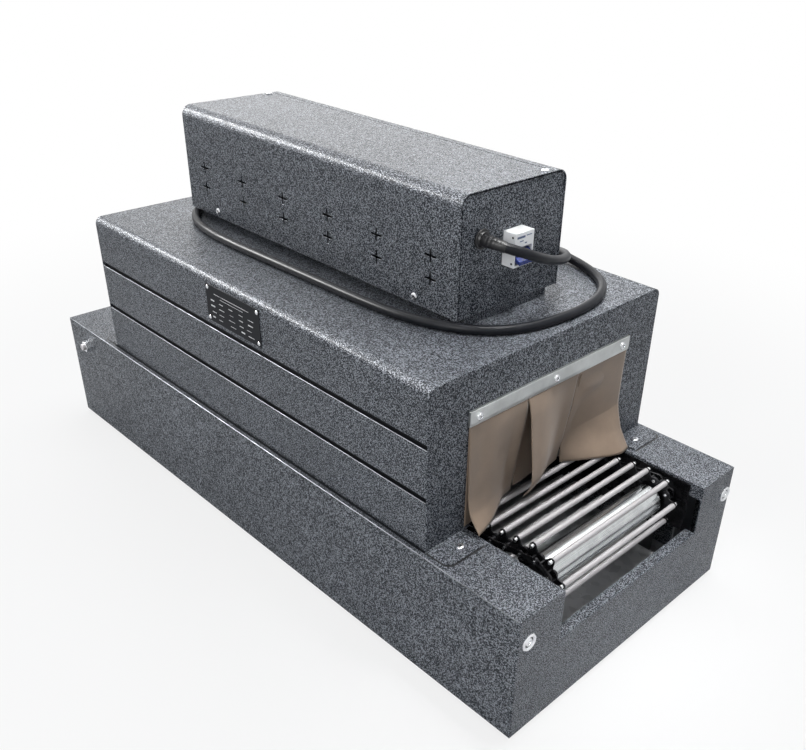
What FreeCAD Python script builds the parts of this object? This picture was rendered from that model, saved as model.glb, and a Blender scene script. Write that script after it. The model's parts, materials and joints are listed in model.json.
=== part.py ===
import FreeCAD, Part
import math
import os
import Sketcher
from FreeCAD import Placement, Rotation, Vector

# Shrink tunnel with a chain-and-rod conveyor, in millimetres.
# X runs along the conveyor towards the discharge end, Z is up, and the origin is on the floor
# under the middle of the base. The control panel faces +Y.

SIZES = {
    # base casing
    "base_length": 1110, "base_width": 475, "base_height": 193, "base_sheet": 2,
    "opening_half": 155, "lip_depth": 22, "notch_depth": 79, "notch_lip": 14,
    "floor_sheet": 1.5, "foot_height": 5, "foot_radius": 18, "foot_taper": 2, "foot_inset": 60,
    "deck_height": 50, "deck_gap": 6, "deck_inset": 52, "deck_lip": 12, "deck_sheet": 1.5,
    "end_screw_inset": 17.5, "end_screw_drop": 39, "end_screw_radius": 12, "end_screw_head": 4,
    "screw_shank": 4, "screw_depth": 14, "hole_clearance": 0.2,
    # conveyor
    "chain_pitch": 25.4, "sprocket_teeth": 14, "shaft_inset": 65, "shaft_drop": 33.5,
    "run_drop": 17, "ramp_run": 82, "chain_gap": 22, "chain_inside": 7.8,
    "link_plate": 1.6, "link_height": 11, "link_end": 5.5, "lug_top": 5, "chain_phase": 8.4,
    "bar_radius": 4, "bar_rise": 12.8, "bar_sides": 12,
    "sprocket_width": 7.2, "tooth_rise": 2.8, "tooth_root": 4, "tooth_tip": 1.2, "seat_half": 2.6,
    "hub_radius": 15, "drum_radius": 23, "drum_wall": 2, "drum_gap": 13, "drum_disc": 4,
    "shaft_radius": 7.5, "axle_radius": 6, "axle_stub": 14, "nut_radius": 10.5, "nut_height": 9,
    "running_clearance": 0.05, "bearing_radius": 17, "bearing_width": 10,
    "side_plate": 2, "side_plate_top": 4, "side_plate_bottom": 84, "side_plate_past": 44,
    "rail_end_gap": 8, "rail_sheet": 2, "rail_leg": 12, "rail_clearance": 0.3,
    "gearbox_length": 62, "gearbox_depth": 52, "gearbox_height": 52, "gearbox_gap": 3,
    "motor_radius": 25, "motor_length": 120, "bracket_sheet": 3,
    # tunnel
    "tunnel_length": 782, "tunnel_width": 457, "tunnel_height": 230, "tunnel_sheet": 1.5,
    "tunnel_round": 12, "groove_low": 77, "groove_high": 152, "groove_width": 6.5,
    "groove_depth": 6, "mouth_half": 150, "mouth_height": 157,
    "tab_length": 40, "tab_gap": 16, "tab_round": 12, "tab_screw_x": 22, "tab_screw_offset": 24,
    "small_head": 5.5, "small_head_height": 2.5, "small_sides": 10,
    "liner_sheet": 1, "liner_height": 172, "liner_foot": 15, "inlet_radius": 45,
    "slot_length": 70, "slot_height": 8, "slot_pitch": 110, "slot_count": 6, "slot_level": 30,
    "wool_side": 20, "wool_top": 28, "wool_clearance": 0.3, "wool_round": 8, "shaft_hole": 14,
    "heater_y": 176, "heater_radius": 4, "heater_low": 60, "heater_high": 110, "heater_end_gap": 129,
    "clamp_overlap": 12, "clamp_height": 22, "clamp_thick": 4, "clamp_drop": 2,
    "clamp_screw_inset": 16, "curtain_inset": 1, "curtain_clearance": 1.5,
    "curtain_thick": 1, "curtain_gap": 1,
    "curtain_bottom": 7, "hinge_clearance": 0.6, "curtain_count": 3,
    "name_half": 65, "name_height": 56, "name_level": 162, "name_thick": 1,
    "rivet_radius": 3, "rivet_inset": 5, "rivet_height": 1.5,
    # top box
    "box_length": 610, "box_width": 196, "box_height": 159.5, "box_gap": 13.5, "box_sheet": 1.5,
    "box_round": 16, "seam_inset": 25, "end_recess": 1.5, "seam_gap": 1.2,
    "box_foot_width": 25, "box_foot_inset": 17, "box_foot_gap": 18,
    "vent_columns": 6, "vent_pitch": 102, "vent_low": 42.5, "vent_high": 73,
    "vent_arm": 16, "vent_slit": 2.2, "cover_screw_inset": 78, "cover_screw_level": 10,
    "top_screw_inset": 8, "top_screw_gap": 11,
    "breaker_half": 18, "breaker_low": 55.5, "breaker_nose": 45, "breaker_stand": 18,
    "breaker_depth": 55, "breaker_body": 84, "cutout_clearance": 0.3,
    "toggle_radius": 6.5, "toggle_half": 15, "toggle_reach": 13, "toggle_thick": 5,
    "toggle_slot": 11, "toggle_pin_depth": 6, "toggle_drop": 7, "toggle_low": 14.5,
    "grommet_y": -59, "grommet_level": 99, "grommet_radius": 13, "grommet_flange": 3,
    "grommet_neck": 9, "grommet_neck_length": 3,
    "fan_x": 150, "fan_motor_radius": 36, "fan_motor_height": 52, "fan_shaft": 4,
    "fan_hub": 11, "fan_radius": 60, "fan_blades": 8, "fan_blade_height": 12, "fan_disc": 2,
    "fan_gap": 7, "fan_shaft_depth": 20, "shaft_opening": 8,
    "control_level": 79.5, "rocker_first": 30, "rocker_pitch": 62, "rocker_radius": 7.5,
    "rocker_half": 12, "rocker_slot": 8, "rocker_valley": 3.5, "rocker_rise": 3.3,
    "switch_half": 13.5, "switch_height": 9.2,
    "switch_depth": 24, "bezel_half": 17, "bezel_height": 12, "bezel_thick": 2,
    "speed_x": -60, "heat_x": -170, "knob_radius": 15, "knob_height": 16, "knob_shaft": 3,
    "knob_gap": 0.5, "unit_radius": 14, "unit_depth": 22, "knob_pointer": 3,
    "lamp_radius": 5, "lamp_height": 5, "lamp_level": 113.5,
    # mains cord
    "cord_radius": 6.5, "plug_radius": 18, "plug_length": 48, "pin_radius": 2.4,
    "pin_length": 19, "pin_pitch": 19,
}

doc = FreeCAD.newDocument("ShrinkTunnel")
sheet = doc.addObject("Spreadsheet::Sheet", "Sizes")
for row, (alias, number) in enumerate(SIZES.items(), start=1):
    sheet.set(f"A{row}", alias)
    sheet.set(f"B{row}", str(number))
    sheet.setAlias(f"B{row}", alias)
doc.recompute()


class Size:
    """A number together with the sheet formula that gives it."""

    def __init__(self, value, text):
        self.value = float(value)
        self.text = text

    def __add__(self, other):
        other = as_size(other)
        return Size(self.value + other.value, f"({self.text} + {other.text})")

    def __sub__(self, other):
        other = as_size(other)
        return Size(self.value - other.value, f"({self.text} - {other.text})")

    def __mul__(self, other):
        other = as_size(other)
        return Size(self.value * other.value, f"({self.text} * {other.text})")

    def __truediv__(self, other):
        other = as_size(other)
        return Size(self.value / other.value, f"({self.text} / {other.text})")

    def __radd__(self, other):
        return as_size(other) + self

    def __rsub__(self, other):
        return as_size(other) - self

    def __rmul__(self, other):
        return as_size(other) * self

    def __neg__(self):
        return as_size(0) - self

    def __float__(self):
        return self.value


def as_size(value):
    return value if isinstance(value, Size) else Size(value, f"({value})")


class Sheet:
    """The sheet's cells as sizes, by their aliases."""

    def __getattr__(self, alias):
        return Size(sheet.get(alias), "Sizes." + alias)


S = Sheet()
SIDES = (("near", -1), ("far", 1))
ENDS = (("infeed", -1), ("discharge", 1))

# places that several pieces share
base_bottom = S.foot_height
base_top = base_bottom + S.base_height
base_end = S.base_length / 2
base_side = S.base_width / 2
end_screw_y = base_side - S.end_screw_inset
floor_top = base_bottom + S.floor_sheet
deck_top = base_bottom + S.deck_height
deck_half = S.opening_half - S.deck_gap
deck_reach = base_end - S.deck_inset
notch_bottom = base_top - S.notch_depth
shaft_x = base_end - S.shaft_inset
shaft_z = base_top - S.shaft_drop
run_z = base_top - S.run_drop
ramp_start = shaft_x - S.ramp_run
rail_reach = ramp_start - S.rail_end_gap
side_plate_reach = shaft_x + S.side_plate_past
plate_outer = S.opening_half
plate_inner = S.opening_half - S.side_plate
chain_y = plate_inner - S.chain_gap
drum_half = chain_y - S.drum_gap
rail_inner = chain_y - S.chain_inside / 2 + S.rail_clearance
pitch_radius = float(S.chain_pitch) / 2 / math.sin(2 * math.pi / float(S.sprocket_teeth))
tunnel_end = S.tunnel_length / 2
tunnel_side = S.tunnel_width / 2
tunnel_top = base_top + S.tunnel_height
tab_inner = S.mouth_half + S.tab_gap
liner_top = base_top + S.liner_height
clamp_half = S.mouth_half + S.clamp_overlap
clamp_bottom = base_top + S.mouth_height - S.clamp_drop
hinge_x = tunnel_end + S.clamp_thick / 2
box_bottom = tunnel_top + S.box_gap
box_top = box_bottom + S.box_height
box_end = S.box_length / 2
box_side = S.box_width / 2
seam_y = box_side - S.seam_inset
plate_face = box_end - S.end_recess
breaker_z = box_bottom + S.breaker_low
toggle_x = box_end + S.breaker_stand - S.toggle_pin_depth
toggle_z = breaker_z + S.toggle_low
control_z = box_bottom + S.control_level

nodes = []


def keep(obj, label):
    """Makes an object one of the model's named sub-parts."""
    obj.Label = label
    nodes.append(obj)
    return obj


def bind(obj, **formulas):
    for name, size in formulas.items():
        obj.setExpression(name.replace("__", "."), as_size(size).text)


def place(obj, x, y, z):
    bind(obj, Placement__Base__x=x, Placement__Base__y=y, Placement__Base__z=z)


def box(name, low, high):
    obj = doc.addObject("Part::Box", name)
    bind(obj, Length=high[0] - as_size(low[0]), Width=high[1] - as_size(low[1]),
         Height=high[2] - as_size(low[2]))
    place(obj, *low)
    return obj


TURNS = {"x": Rotation(Vector(0, 1, 0), 90), "y": Rotation(Vector(1, 0, 0), -90), "z": Rotation()}


def bar(name, axis, start, radius, length, end_radius=None):
    """A round bar, or a cone, that starts at a point and runs along +axis."""
    obj = doc.addObject("Part::Cylinder" if end_radius is None else "Part::Cone", name)
    obj.Placement = Placement(Vector(), TURNS[axis])
    bind(obj, Height=length)
    if end_radius is None:
        bind(obj, Radius=radius)
    else:
        bind(obj, Radius1=radius, Radius2=end_radius)
    place(obj, *start)
    return obj


def prism(name, axis, start, radius, length, sides):
    obj = doc.addObject("Part::Prism", name)
    obj.Placement = Placement(Vector(), TURNS[axis])
    bind(obj, Circumradius=radius, Height=length, Polygon=sides)
    place(obj, *start)
    return obj


def cut(name, base, tools):
    obj = doc.addObject("Part::Cut", name)
    obj.Base = base
    obj.Tool = tools[0] if len(tools) == 1 else group(name + "Tools", tools)
    return obj


def fuse(name, parts):
    obj = doc.addObject("Part::MultiFuse", name)
    obj.Shapes = parts
    return obj


def group(name, parts):
    obj = doc.addObject("Part::Compound", name)
    obj.Links = parts
    return obj


def outline(name, plane, points, start, length):
    """A body whose pad has a closed outline, drawn on an origin plane and bound point by point."""
    body = doc.addObject("PartDesign::Body", name)
    sketch = body.newObject("Sketcher::SketchObject", name + "Outline")
    sketch.AttachmentSupport = ([f for f in body.Origin.OriginFeatures if f.Role == plane][0], [""])
    sketch.MapMode = "FlatFace"
    sketch.setExpression("AttachmentOffset.Base.z", as_size(start).text)
    corners = [(as_size(u), as_size(v)) for u, v in points]
    spots = [Vector(u.value, v.value, 0) for u, v in corners]
    count = len(corners)
    for i in range(count):
        sketch.addGeometry(Part.LineSegment(spots[i], spots[(i + 1) % count]))
    for i in range(count):
        sketch.addConstraint(Sketcher.Constraint("Coincident", i, 2, (i + 1) % count, 1))
    for i, (u, v) in enumerate(corners):
        for kind, size in (("DistanceX", u), ("DistanceY", v)):
            index = sketch.addConstraint(Sketcher.Constraint(kind, -1, 1, i, 1, size.value))
            sketch.setExpression(f"Constraints[{index}]", size.text)
    pad = body.newObject("PartDesign::Pad", name + "Pad")
    pad.Profile = sketch
    pad.setExpression("Length", as_size(length).text)
    return body


def round_edges(body, name, radius, direction, spots):
    """Rounds the edges of a pad that run along a direction through the given places."""
    doc.recompute()
    pad = body.Tip
    picked = []
    for index, edge in enumerate(pad.Shape.Edges, start=1):
        if abs(edge.tangentAt(edge.FirstParameter).dot(direction)) < 0.99:
            continue
        middle = edge.CenterOfMass
        for spot in spots:
            away = Vector(*(float(s) for s in spot)) - middle
            if (away - direction * away.dot(direction)).Length < 0.01:
                picked.append(f"Edge{index}")
    fillet = body.newObject("PartDesign::Fillet", name)
    fillet.Base = (pad, picked)
    fillet.setExpression("Radius", as_size(radius).text)
    return body


def feature(label, shape):
    obj = doc.addObject("Part::Feature", label)
    obj.Shape = shape
    obj.Placement = Placement()
    return keep(obj, label)


def screw(name, axis, way, x, y, z, head, thick):
    """A small screw head that lies on a face at x, y, z, with its outside towards way."""
    spots = {"x": x, "y": y, "z": z}
    if way < 0:
        spots[axis] = spots[axis] - thick
    return prism(name, axis, (spots["x"], spots["y"], spots["z"]), head, thick, S.small_sides)


# base

def base_shell():
    inner = S.opening_half + S.base_sheet
    wall = base_side - S.base_sheet
    parts = []
    for side, sign in SIDES:
        section = [(base_side, base_bottom), (base_side, base_top), (S.opening_half, base_top),
                   (S.opening_half, base_top - S.lip_depth), (inner, base_top - S.lip_depth),
                   (inner, base_top - S.base_sheet), (wall, base_top - S.base_sheet),
                   (wall, base_bottom)]
        parts.append(outline("Wall_" + side, "YZ_Plane", [(sign * y, z) for y, z in section],
                             S.base_sheet - base_end, S.base_length - 2 * S.base_sheet))
    end = [(-base_side, base_bottom), (base_side, base_bottom), (base_side, base_top),
           (S.opening_half, base_top), (S.opening_half, notch_bottom),
           (-S.opening_half, notch_bottom), (-S.opening_half, base_top), (-base_side, base_top)]
    holes = []
    for name, sign in ENDS:
        start = -base_end if sign < 0 else base_end - S.base_sheet
        parts.append(outline("EndWall_" + name, "YZ_Plane", end, start, S.base_sheet))
        lip_start = start + S.base_sheet if sign < 0 else start - S.notch_lip
        parts.append(box("NotchLip_" + name,
                         (lip_start, -S.opening_half, notch_bottom - S.base_sheet),
                         (lip_start + S.notch_lip, S.opening_half, notch_bottom)))
        for side, way in SIDES:
            holes.append(bar(f"EndHole_{name}_{side}", "x",
                             (start, way * end_screw_y, base_top - S.end_screw_drop),
                             S.screw_shank + S.hole_clearance, S.base_sheet))
    holes.append(bar("AxleHole", "y", (-shaft_x, -base_side, shaft_z),
                     S.axle_radius + S.hole_clearance, S.base_width))
    keep(cut("BaseShell", fuse("BaseFolded", parts), holes), "base_shell")


def base_floor():
    keep(box("BaseFloor", (S.base_sheet - base_end, S.base_sheet - base_side, base_bottom),
             (base_end - S.base_sheet, base_side - S.base_sheet, floor_top)), "base_floor")


def rubber_feet():
    feet = []
    for name, sign in ENDS:
        for side, way in SIDES:
            feet.append(bar(f"Foot_{name}_{side}", "z",
                            (sign * (base_end - S.foot_inset), way * (base_side - S.foot_inset), 0),
                            S.foot_radius - S.foot_taper, S.foot_height, S.foot_radius))
    keep(group("RubberFeet", feet), "rubber_feet")


def deck_plate():
    inner = deck_half - S.deck_sheet
    under = deck_top - S.deck_sheet
    section = [(deck_half, floor_top), (deck_half, deck_top), (-deck_half, deck_top),
               (-deck_half, floor_top), (-inner, floor_top), (-inner, under), (inner, under),
               (inner, floor_top)]
    parts = [outline("DeckFold", "YZ_Plane", section, -deck_reach, 2 * deck_reach)]
    for name, sign in ENDS:
        start = -deck_reach if sign < 0 else deck_reach - S.deck_sheet
        parts.append(box("DeckLip_" + name, (start, -inner, deck_top - S.deck_lip),
                         (start + S.deck_sheet, inner, under)))
    keep(fuse("DeckPlate", parts), "deck_plate")


def end_screws():
    parts = []
    for name, sign in ENDS:
        for side, way in SIDES:
            y = way * end_screw_y
            z = base_top - S.end_screw_drop
            head = base_end if sign > 0 else -base_end - S.end_screw_head
            shank = base_end - S.screw_depth if sign > 0 else -base_end
            parts.append(fuse(f"EndScrew_{name}_{side}", [
                bar(f"EndHead_{name}_{side}", "x", (head, y, z), S.end_screw_radius,
                    S.end_screw_head),
                bar(f"EndShank_{name}_{side}", "x", (shank, y, z), S.screw_shank,
                    S.screw_depth)]))
    keep(group("EndScrews", parts), "end_screws")


# conveyor

def side_plates():
    parts = []
    for side, sign in SIDES:
        low = plate_inner if sign > 0 else -plate_outer
        plate = box("SidePlate_" + side, (-side_plate_reach, low, base_top - S.side_plate_bottom),
                    (side_plate_reach, low + S.side_plate, base_top - S.side_plate_top))
        holes = [bar("ShaftPass_" + side, "y", (shaft_x, low, shaft_z),
                     S.shaft_radius + S.hole_clearance, S.side_plate),
                 bar("AxlePass_" + side, "y", (-shaft_x, low, shaft_z),
                     S.axle_radius + S.hole_clearance, S.side_plate)]
        parts.append(cut("SidePlateCut_" + side, plate, holes))
    keep(group("SidePlates", parts), "side_plates")


def chain_rails():
    parts = []
    for side, sign in SIDES:
        for run, level in (("top", run_z), ("return", shaft_z - pitch_radius)):
            top = level - S.link_height / 2 - S.rail_clearance
            web = plate_inner - S.rail_sheet
            section = [(rail_inner, top), (plate_inner, top),
                       (plate_inner, top - S.rail_leg), (web, top - S.rail_leg),
                       (web, top - S.rail_sheet), (rail_inner, top - S.rail_sheet)]
            parts.append(outline(f"Rail_{run}_{side}", "YZ_Plane",
                                 [(sign * y, z) for y, z in section],
                                 -rail_reach, 2 * rail_reach))
    keep(group("ChainRails", parts), "chain_rails")


class Loop:
    """The closed line that the chain's pins follow, counted in links from the discharge wheel."""

    def __init__(self):
        self.radius = pitch_radius
        self.step = 4 * math.pi / float(S.sprocket_teeth)
        wheel = float(shaft_x)
        start = float(ramp_start)
        self.level = float(run_z)
        self.axis = float(shaft_z)
        across = wheel - start
        drop = self.axis - self.level
        reach = math.hypot(across, drop)
        self.leave = math.atan2(drop, across) + math.acos(-self.radius / reach)
        arc = (self.leave + math.pi / 2) / self.step
        off = Vector(wheel + self.radius * math.cos(self.leave), 0,
                     self.axis + self.radius * math.sin(self.leave))
        knee = Vector(start, 0, self.level)
        low = Vector(wheel, 0, self.axis - self.radius)
        mirrored = [Vector(-p.x, 0, p.z) for p in (knee, off, low)]
        lines = [(off, knee), (knee, mirrored[0]), (mirrored[0], mirrored[1]), (mirrored[2], low)]
        length = sum((b - a).Length for a, b in lines)
        self.links = 2 * round((length / float(S.chain_pitch) + 2 * arc) / 2)
        pitch = length / (self.links - 2 * arc)
        self.pieces = [("arc", wheel, -math.pi / 2, arc)]
        self.pieces += [("line", a, b, (b - a).Length / pitch) for a, b in lines[:3]]
        self.pieces.append(("arc", -wheel, math.pi - self.leave, arc))
        self.pieces.append(("line", lines[3][0], lines[3][1], lines[3][1].sub(lines[3][0]).Length / pitch))
        first = (math.radians(float(S.chain_phase)) + math.pi / 2) / self.step - 0.5
        self.start = first % 1
        self.far_start = sum(piece[3] for piece in self.pieces[:4])

    def point(self, links):
        left = links % self.links
        for kind, a, b, span in self.pieces:
            if left <= span or (kind, a) == (self.pieces[-1][0], self.pieces[-1][1]):
                break
            left -= span
        if kind == "line":
            return a + (b - a) * (left / span)
        angle = b + left * self.step
        return Vector(a + self.radius * math.cos(angle), 0, self.axis + self.radius * math.sin(angle))

    def frames(self):
        """Each link's middle, heading and outward direction."""
        pins = [self.point(i + self.start) for i in range(self.links)]
        for i, pin in enumerate(pins):
            nxt = pins[(i + 1) % self.links]
            heading = (nxt - pin).normalize()
            yield i, (pin + nxt) * 0.5, heading, Vector(heading.z, 0, -heading.x), (nxt - pin).Length

    def gap_angle(self, end):
        """The angle at which a pin sits on the discharge or the infeed wheel."""
        if end > 0:
            return -math.pi / 2 + self.start * self.step
        return math.pi - self.leave + (self.start - self.far_start) * self.step


loop = Loop()


def slab(corners, y, width):
    """A flat piece with corners in the XZ plane, from y to y + width."""
    spots = [Vector(p.x, y, p.z) for p in corners]
    return Part.Face(Part.makePolygon(spots + spots[:1])).extrude(Vector(0, width, 0))


def conveyor_chains():
    """Link plates, the inner ones with a lug that carries the end of a rod."""
    plates = []
    thick = float(S.link_plate)
    half_gap = float(S.chain_inside) / 2
    half_height = float(S.link_height) / 2
    lug_top = float(S.bar_rise + S.bar_radius)
    for sign in (-1, 1):
        for i, middle, heading, out, pitch in loop.frames():
            half = pitch / 2 + float(S.link_end)
            step = half_gap + (thick if i % 2 else 0)
            lug = [middle - heading * half - out * half_height,
                   middle + heading * half - out * half_height,
                   middle + heading * float(S.lug_top) + out * lug_top,
                   middle - heading * float(S.lug_top) + out * lug_top]
            plain = [lug[0], lug[1], lug[1] + out * 2 * half_height, lug[0] + out * 2 * half_height]
            for shape, low in ((lug, float(chain_y) - step - thick), (plain, float(chain_y) + step)):
                plates.append(slab(shape, low if sign > 0 else -low - thick, thick))
    feature("conveyor_chains", Part.makeCompound(plates))


def conveyor_rods():
    rods = []
    sides = int(float(S.bar_sides))
    for i, middle, heading, out, pitch in loop.frames():
        centre = middle + out * float(S.bar_rise)
        half = float(chain_y) - float(S.chain_inside) / 2 - float(S.link_plate) * (2 if i % 2 else 1)
        ring = []
        for k in range(sides):
            angle = 2 * math.pi * (k + 0.5) / sides
            ring.append(centre + (heading * math.cos(angle) + out * math.sin(angle)) * float(S.bar_radius))
        rods.append(slab(ring, -half, 2 * half))
    feature("conveyor_rods", Part.makeCompound(rods))


def sprocket(end, side, bore):
    """A wheel with a hub towards the drum, its tooth gaps under the chain's pins."""
    sign = -1 if side < 0 else 1
    teeth = int(float(S.sprocket_teeth))
    step = 2 * math.pi / teeth
    root = pitch_radius - float(S.tooth_root)
    tip = pitch_radius + float(S.tooth_rise)
    seat = float(S.seat_half) / root
    crest = float(S.tooth_tip) / tip
    centre = Vector(end * float(shaft_x), 0, float(shaft_z))
    ring = []
    for k in range(teeth):
        gap = loop.gap_angle(end) + k * step
        for angle, radius in ((gap - seat, root), (gap + seat, root),
                              (gap + step / 2 - crest, tip), (gap + step / 2 + crest, tip)):
            ring.append(centre + Vector(math.cos(angle), 0, math.sin(angle)) * radius)
    width = float(S.sprocket_width)
    low = sign * float(chain_y) - width / 2
    wheel = slab(ring, low, width)
    hub_low = float(drum_half) if sign > 0 else -float(chain_y) + width / 2
    hub_length = float(chain_y) - width / 2 - float(drum_half)
    axis = Vector(0, 1, 0)
    hub = Part.makeCylinder(float(S.hub_radius), hub_length, Vector(centre.x, hub_low, centre.z), axis)
    hole = Part.makeCylinder(float(bore), 2 * float(chain_y) + width,
                             Vector(centre.x, -float(chain_y) - width / 2, centre.z), axis)
    return wheel.fuse(hub).cut(hole).removeSplitter()


def wheels():
    idler_bore = S.axle_radius + S.running_clearance
    for label, end, bore in (("drive_sprockets", 1, S.shaft_radius), ("idler_sprockets", -1, idler_bore)):
        feature(label, Part.makeCompound([sprocket(end, side, bore) for side in (-1, 1)]))


def drum(label, end, bore):
    x = end * shaft_x
    start = (x, -drum_half, shaft_z)
    length = 2 * drum_half
    name = label.title().replace("_", "")
    skin = cut(name + "Tube", bar(name + "Outside", "y", start, S.drum_radius, length),
               [bar(name + "Inside", "y", (x, S.drum_disc - drum_half, shaft_z),
                    S.drum_radius - S.drum_wall, length - 2 * S.drum_disc)])
    keep(cut(name, skin, [bar(name + "Bore", "y", start, bore, length)]), label)


def drive_shaft():
    inner_end = plate_outer + S.gearbox_gap + S.gearbox_depth / 2
    keep(bar("DriveShaft", "y", (shaft_x, -plate_outer, shaft_z), S.shaft_radius,
             inner_end + plate_outer), "drive_shaft")


def drive_bearings():
    parts = []
    for side, sign in SIDES:
        low = plate_inner - S.bearing_width if sign > 0 else -plate_inner
        start = (shaft_x, low, shaft_z)
        parts.append(cut("Bearing_" + side,
                         bar("BearingBody_" + side, "y", start, S.bearing_radius, S.bearing_width),
                         [bar("BearingBore_" + side, "y", start,
                              S.shaft_radius + S.running_clearance, S.bearing_width)]))
    keep(group("DriveBearings", parts), "drive_bearings")


def idler_axle():
    reach = base_side + S.axle_stub
    keep(bar("IdlerAxle", "y", (-shaft_x, -reach, shaft_z), S.axle_radius, 2 * reach), "idler_axle")
    nuts = []
    for side, sign in SIDES:
        start = (-shaft_x, base_side if sign > 0 else -base_side - S.nut_height, shaft_z)
        nuts.append(cut("Nut_" + side, prism("NutBody_" + side, "y", start, S.nut_radius,
                                             S.nut_height, 6),
                        [bar("NutBore_" + side, "y", start, S.axle_radius, S.nut_height)]))
    keep(group("AxleNuts", nuts), "axle_nuts")


def gear_motor():
    """A worm gearbox on the end of the drive shaft, with its motor lying along the base."""
    low = plate_outer + S.gearbox_gap
    middle = low + S.gearbox_depth / 2
    left = shaft_x - S.gearbox_length / 2
    under = shaft_z - S.gearbox_height / 2
    gearbox = box("Gearbox", (left, low, under),
                  (left + S.gearbox_length, low + S.gearbox_depth, under + S.gearbox_height))
    motor = bar("MotorCan", "x", (left - S.motor_length, middle, shaft_z), S.motor_radius,
                S.motor_length)
    bracket = box("MotorFoot", (left, low, floor_top), (left + S.bracket_sheet, low + S.gearbox_depth,
                                                        under))
    second = box("MotorFootEnd", (left + S.gearbox_length - S.bracket_sheet, low, floor_top),
                 (left + S.gearbox_length, low + S.gearbox_depth, under))
    bore = bar("GearboxBore", "y", (shaft_x, low, shaft_z), S.shaft_radius + S.running_clearance,
               S.gearbox_depth)
    keep(cut("GearMotor", fuse("GearMotorBody", [gearbox, motor, bracket, second]), [bore]),
         "gear_motor")


# tunnel

def tunnel_cover():
    sheet_in = S.tunnel_sheet
    half = []
    inner = []
    for level in (S.groove_low, S.groove_high):
        low = base_top + level - S.groove_width / 2
        high = base_top + level + S.groove_width / 2
        deep = tunnel_side - S.groove_depth
        half += [(tunnel_side, low), (deep, low), (deep, high), (tunnel_side, high)]
        inner += [(tunnel_side - sheet_in, low - sheet_in), (deep - sheet_in, low - sheet_in),
                  (deep - sheet_in, high + sheet_in), (tunnel_side - sheet_in, high + sheet_in)]
    outer = [(tunnel_side, base_top)] + half + [(tunnel_side, tunnel_top)]
    inside = [(tunnel_side - sheet_in, base_top)] + inner
    inside.append((tunnel_side - sheet_in, tunnel_top - sheet_in))
    section = outer + [(-y, z) for y, z in reversed(outer)]
    section += [(-y, z) for y, z in inside] + list(reversed(inside))
    start = S.tunnel_sheet - tunnel_end
    body = outline("CoverFold", "YZ_Plane", section, start, S.tunnel_length - 2 * S.tunnel_sheet)
    along = Vector(1, 0, 0)
    round_edges(body, "CoverOutside", S.tunnel_round, along,
                [(0, way * tunnel_side, tunnel_top) for way in (-1, 1)])
    round_edges(body, "CoverInside", S.tunnel_round - sheet_in, along,
                [(0, way * (tunnel_side - sheet_in), tunnel_top - sheet_in) for way in (-1, 1)])
    holes = [bar("CoverHole_" + name, "z", (sign * S.fan_x, 0, tunnel_top - S.tunnel_sheet),
                 S.shaft_opening, S.tunnel_sheet) for name, sign in ENDS]
    keep(cut("TunnelCover", body, holes), "tunnel_cover")


def tunnel_ends():
    mouth = base_top + S.mouth_height
    section = [(-tunnel_side, base_top), (-S.mouth_half, base_top), (-S.mouth_half, mouth),
               (S.mouth_half, mouth), (S.mouth_half, base_top), (tunnel_side, base_top),
               (tunnel_side, tunnel_top), (-tunnel_side, tunnel_top)]
    for name, sign in ENDS:
        start = -tunnel_end if sign < 0 else tunnel_end - S.tunnel_sheet
        plate = outline("EndPlate_" + name, "YZ_Plane", section, start, S.tunnel_sheet)
        round_edges(plate, "EndPlateRound_" + name, S.tunnel_round, Vector(1, 0, 0),
                    [(0, way * tunnel_side, tunnel_top) for way in (-1, 1)])
        parts = [plate]
        holes = []
        for side, way in SIDES:
            tip = sign * (tunnel_end + S.tab_length)
            corners = [(sign * tunnel_end, way * tab_inner), (tip, way * tab_inner),
                       (tip, way * tunnel_side), (sign * tunnel_end, way * tunnel_side)]
            tab = outline(f"Tab_{name}_{side}", "XY_Plane", corners, base_top, S.tunnel_sheet)
            round_edges(tab, f"TabRound_{name}_{side}", S.tab_round, Vector(0, 0, 1),
                        [(tip, way * tunnel_side, 0)])
            parts.append(tab)
        keep(fuse("EndPlateWithTabs_" + name, parts), "end_plate_" + name)


def tab_screws():
    parts = []
    for name, sign in ENDS:
        for side, way in SIDES:
            parts.append(screw(f"TabScrew_{name}_{side}", "z", 1,
                               sign * (tunnel_end + S.tab_screw_x), way * (tab_inner + S.tab_screw_offset),
                               base_top + S.tunnel_sheet, S.small_head, S.small_head_height))
    keep(group("TabScrews", parts), "tab_screws")


def chamber_liner():
    sheet_in = S.liner_sheet
    half = S.mouth_half
    foot = half + S.liner_foot
    right = [(foot, base_top), (foot, base_top + sheet_in), (half + sheet_in, base_top + sheet_in),
             (half + sheet_in, liner_top + sheet_in)]
    inside = [(half, liner_top), (half, base_top)]
    section = right + [(-y, z) for y, z in reversed(right)]
    section += [(-y, z) for y, z in reversed(inside)] + inside
    reach = tunnel_end - S.tunnel_sheet
    fold = outline("LinerFold", "YZ_Plane", section, -reach, 2 * reach)
    cuts = [bar("Inlet_" + name, "z", (sign * S.fan_x, 0, liner_top), S.inlet_radius, sheet_in)
            for name, sign in ENDS]
    count = int(float(S.slot_count))
    for k in range(count):
        middle = (k - (count - 1) / 2) * S.slot_pitch
        low = base_top + S.slot_level
        cuts.append(box(f"AirSlot{k}", (middle - S.slot_length / 2, -half - sheet_in, low),
                        (middle + S.slot_length / 2, half + sheet_in, low + S.slot_height)))
    keep(cut("ChamberLiner", fold, cuts), "chamber_liner")


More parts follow.
